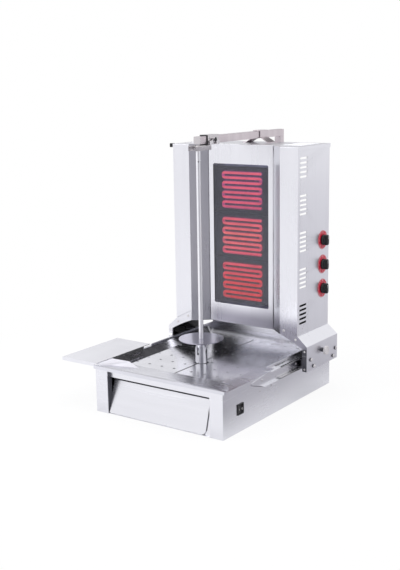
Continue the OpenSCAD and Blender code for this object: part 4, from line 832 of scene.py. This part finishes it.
# %% Painted shade round the drawer opening
POST_X, FRONT_Y, RAIL_Y, RAIL_LOW, BASE_H, RETURN_Y = 209.0, -255.0, -239.0, 126.0, 150.0, -233.0
HEM = 2.5
cheek_y, cheek_z = np.array([FRONT_Y + HEM, RETURN_Y]), np.array([1.0, BASE_H - HEM])[:, None]
# painted shade: dark sheets on the opening's cheeks and under its top rail, where the opening lies in shade
opening_shade = [grid_of(hand * (POST_X - 0.3), cheek_y, cheek_z) for hand in HANDS]
head_x, head_z = np.array([1.0 - POST_X, POST_X - 1.0]), np.array([RAIL_LOW, BASE_H - HEM])[:, None]
opening_shade.append(grid_of(head_x, RAIL_Y - 0.4, head_z))
thicken(piece_of("drawer_opening_shade", opening_shade, "base", "zinc_plate", "dark_zinc_and_painted_shade"), 0.25)

# %% Corner of the pan
# painted highlight: a matt, almost white plate keeps the pan's front left corner bright
CORNER_Z, CORNER_FOOT_Z = 166.2, 150.5
CORNER_TOP = np.array([(-256.5, -247.0), (-256.5, -172.0), (-183.0, -169.0), (-256.5, -247.0)])
CORNER_FOOT = np.array([(-256.5, -250.0), (-256.5, -172.0), (-120.0, -184.0), (-256.5, -250.0)])
middle = np.broadcast_to(CORNER_TOP[:3].mean(axis=0), CORNER_TOP.shape)
flat = np.stack([middle, CORNER_TOP, CORNER_FOOT])
corner = grid_of(flat[..., 0], flat[..., 1], np.array([CORNER_Z, CORNER_Z, CORNER_FOOT_Z])[:, None])
thicken(piece_of("pan_corner_sheen_plate", [corner], "base", "pan_steel", "corner_sheet"), 0.4)

# %% [markdown]
# ## Seam, rails, ducts and spindle hole
# Four small things give the machine its dark accents: the joint between the two trays, the balls and the
# lower edges of the slide rails, the plates behind the lowest vents and the pin hole near the spindle's
# top. Each is a strip, a patch or a ball laid on the face that carries it. In the joint, on the balls,
# under the rails' noses and in the pin hole the dark is painted shade, for the shade in those gaps and hollows.

# %% Seam of the trays
SEAM_X, SEAM_W, TRAY_TOP, NOTCH, SEAM_FRONT, SEAM_BACK = -1.2, 3.0, 150.12, 24.5, -149.0, 339.0
# painted shadow: a black strip on the left tray's edge stands for the shaded gap between the trays
seam_x = np.array([SEAM_X - SEAM_W, SEAM_X])
seam_shadow = [grid_of(seam_x, np.array(ends)[:, None], TRAY_TOP) for ends in [(SEAM_FRONT, -NOTCH), (NOTCH, SEAM_BACK)]]
thicken(piece_of("tray_seam_shadow_strips", seam_shadow, "left_tray", "tray_steel", "black_plastic"), 0.16)

# %% Balls and noses of the rails
BALL_R, BALL_X, BALL_Z, BALL_START, BALL_STEP, BALLS = 3.1, 271.4, 157.2, 82, 13.5, 9
along = BALL_R * np.cos(np.linspace(np.pi, 0, 9))
ball = np.stack([along, np.sqrt(np.clip(BALL_R ** 2 - along ** 2, 0, None))], axis=1)
balls = [turned(ball, (hand * BALL_X, y, BALL_Z), (hand, 0, 0), 12)
         for hand in HANDS for y in BALL_START + BALL_STEP * np.arange(BALLS)]
# painted shade: the steel balls are drawn black for the shade inside the rail windows
piece_of("rail_window_balls", balls, "base", "screw_steel", "black_plastic", sharp=60)

# painted shadow: a dark strip under each rail's nose, for the shadow line beneath it
NOSE_SHADOW_X, NOSE_SHADOW_Y, NOSE_SHADOW_Z = 260.3, np.array([-91.0, -23.0]), np.array([135.6, 114.8])
NOSE_SHADOW_DROP = np.array([0.0, -1.8])[:, None]
nose_shadows = [grid_of(hand * NOSE_SHADOW_X, NOSE_SHADOW_Y, NOSE_SHADOW_Z + NOSE_SHADOW_DROP) for hand in HANDS]
thicken(piece_of("rail_nose_shadow_lines", nose_shadows, "base", "zinc_plate", "dark_zinc_and_painted_shade"), 0.4)

# %% Plates behind the lowest vents
DUCT_X, DUCT_Y, DUCT_Z = 240.0, np.array([236.0, 350.0]), np.array([252.0, 346.0])[:, None]
ducts = [grid_of(hand * DUCT_X, DUCT_Y, DUCT_Z) for hand in HANDS]
thicken(piece_of("lower_duct_plates", ducts, "carriage", "black_plastic"), 1.0)

# %% Pin hole of the spindle
ROD_R, HOLE_R, HOLE_Z, HOLE_FACING = 7.55, 2.3, 838.0, math.radians(-54.5)
turn, share = np.linspace(0, 2 * np.pi, 25), np.array([0.0, 1.0])[:, None]
swing = HOLE_FACING + share * HOLE_R * np.cos(turn) / ROD_R
# painted shade: a black patch on the spindle stands for the shaded inside of the pin hole
hole_shade = grid_of(ROD_R * np.cos(swing), ROD_R * np.sin(swing), HOLE_Z + share * HOLE_R * np.sin(turn))
thicken(piece_of("spindle_pin_hole_shade", [hole_shade], "rotor", "turned_steel", "black_plastic"), 0.08)

# %% [markdown]
# ## Holder at the spindle's top
# A channel bent from flat steel holds the spindle upright, in a slot that is open at the front. It hangs
# from a sleeve on the arm's bar. The channel is a bent line carried along Y: two halves beside the slot,
# then one whole line behind it. The sleeve ends in a black bush, whose black is also painted shade for the
# gap between the sleeve and the end cap, and the wing bolt in a black cap.

# %% Bent channel
CHANNEL_FRONT, CHANNEL_BACK, CHANNEL_T, SLOT, BEND_R = -33.0, 54.0, 3.0, 5.0, 2.0


def bent(x, z, y):
    """A bent line of x and z carried along the stations y."""
    return grid_of(x, np.array(y)[:, None], z)


low, high = (np.array(corner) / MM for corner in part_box("holder_channel"))
side, crown = high[0] - CHANNEL_T / 2, high[2] - CHANNEL_T / 2
turn = np.linspace(0, np.pi / 2, 6)
leg_x = np.append(side - BEND_R + BEND_R * np.sin(turn), side)
leg_z = np.append(crown - BEND_R + BEND_R * np.cos(turn), low[2])
half_x, half_z = np.insert(leg_x, 0, SLOT), np.insert(leg_z, 0, crown)
whole_x, whole_z = np.concatenate([-leg_x[::-1], leg_x]), np.concatenate([leg_z[::-1], leg_z])
mouth, rear = (CHANNEL_FRONT, SLOT), (SLOT, CHANNEL_BACK)
runs = [bent(half_x, half_z, mouth), bent(-half_x, half_z, mouth), bent(whole_x, whole_z, rear)]
channel = piece_of("holder_channel_bent", runs, "holder", "arm_steel", "holder_steel")
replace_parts(thicken(channel, CHANNEL_T), "holder_channel")

# %% Bush and cap
BUSH_LIFT, BUSH_W, BUSH_T, BOLT_BACK = 0.4, 3.2, 0.6, 30
CAP = [(0, 0), (0, 7.8), (0.8, 7.6), (1.4, 6), (1.4, 0)]
low, high = (np.array(corner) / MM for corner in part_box("holder_sleeve"))
ring_x, ring_z = np.array([-1, 1, 1, -1, -1]), np.array([-1, -1, 1, 1, -1])
width, height, middle = high[0], (high[2] - low[2]) / 2, (high[2] + low[2]) / 2
inset = np.array([0.0, BUSH_W])[:, None]
# black bush ring; its black also paints the shade in the gap at the sleeve's end
bush_and_gap_shade = grid_of(ring_x * (width - inset), low[1] - BUSH_LIFT, middle + ring_z * (height - inset))
thicken(piece_of("sleeve_bush_and_gap_shade", [bush_and_gap_shade], "holder", "black_plastic"), BUSH_T)

hub = (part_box("wing_bolt")[1].x / MM, low[1] + BOLT_BACK, middle)
piece_of("wing_bolt_cap", [turned(CAP, hub, (1, 0, 0))], "holder_bolt", "black_plastic")

# %% [markdown]
# ## Rocker marks
# The power switch carries the usual bar and ring, printed in white on its two slopes. They are drawn on
# the rocker as it stands level, with x growing away from the pivot, and then turned to its rest throw.

# %% Rocker marks
PIVOT = np.array([257.0, -157.0, 76.5])
THROW, FACE_X, FACE_SLOPE, MARK_LIFT = math.radians(-7), 4.5, 0.16, 0.15
MARK_RING_Y, MARK_RING_R = 7.2, np.array([2.0, 2.9])[:, None]
BAR_Y, BAR_Z = np.array([-7.7, -6.7]), np.array([-3.0, 3.0])[:, None]
spin = np.array([[math.cos(THROW), -math.sin(THROW), 0], [math.sin(THROW), math.cos(THROW), 0], [0, 0, 1]])
angle = np.linspace(0, 2 * np.pi, 33)
ring = (MARK_RING_Y + MARK_RING_R * np.cos(angle), MARK_RING_R * np.sin(angle))
marks = [grid_of(FACE_X + FACE_SLOPE * np.abs(y) + MARK_LIFT, y, z) @ spin.T + PIVOT
         for y, z in [ring, (BAR_Y, BAR_Z)]]
thicken(piece_of("rocker_marks", marks, "switch_rocker", "pale_plastic", "white_print"), 0.1)
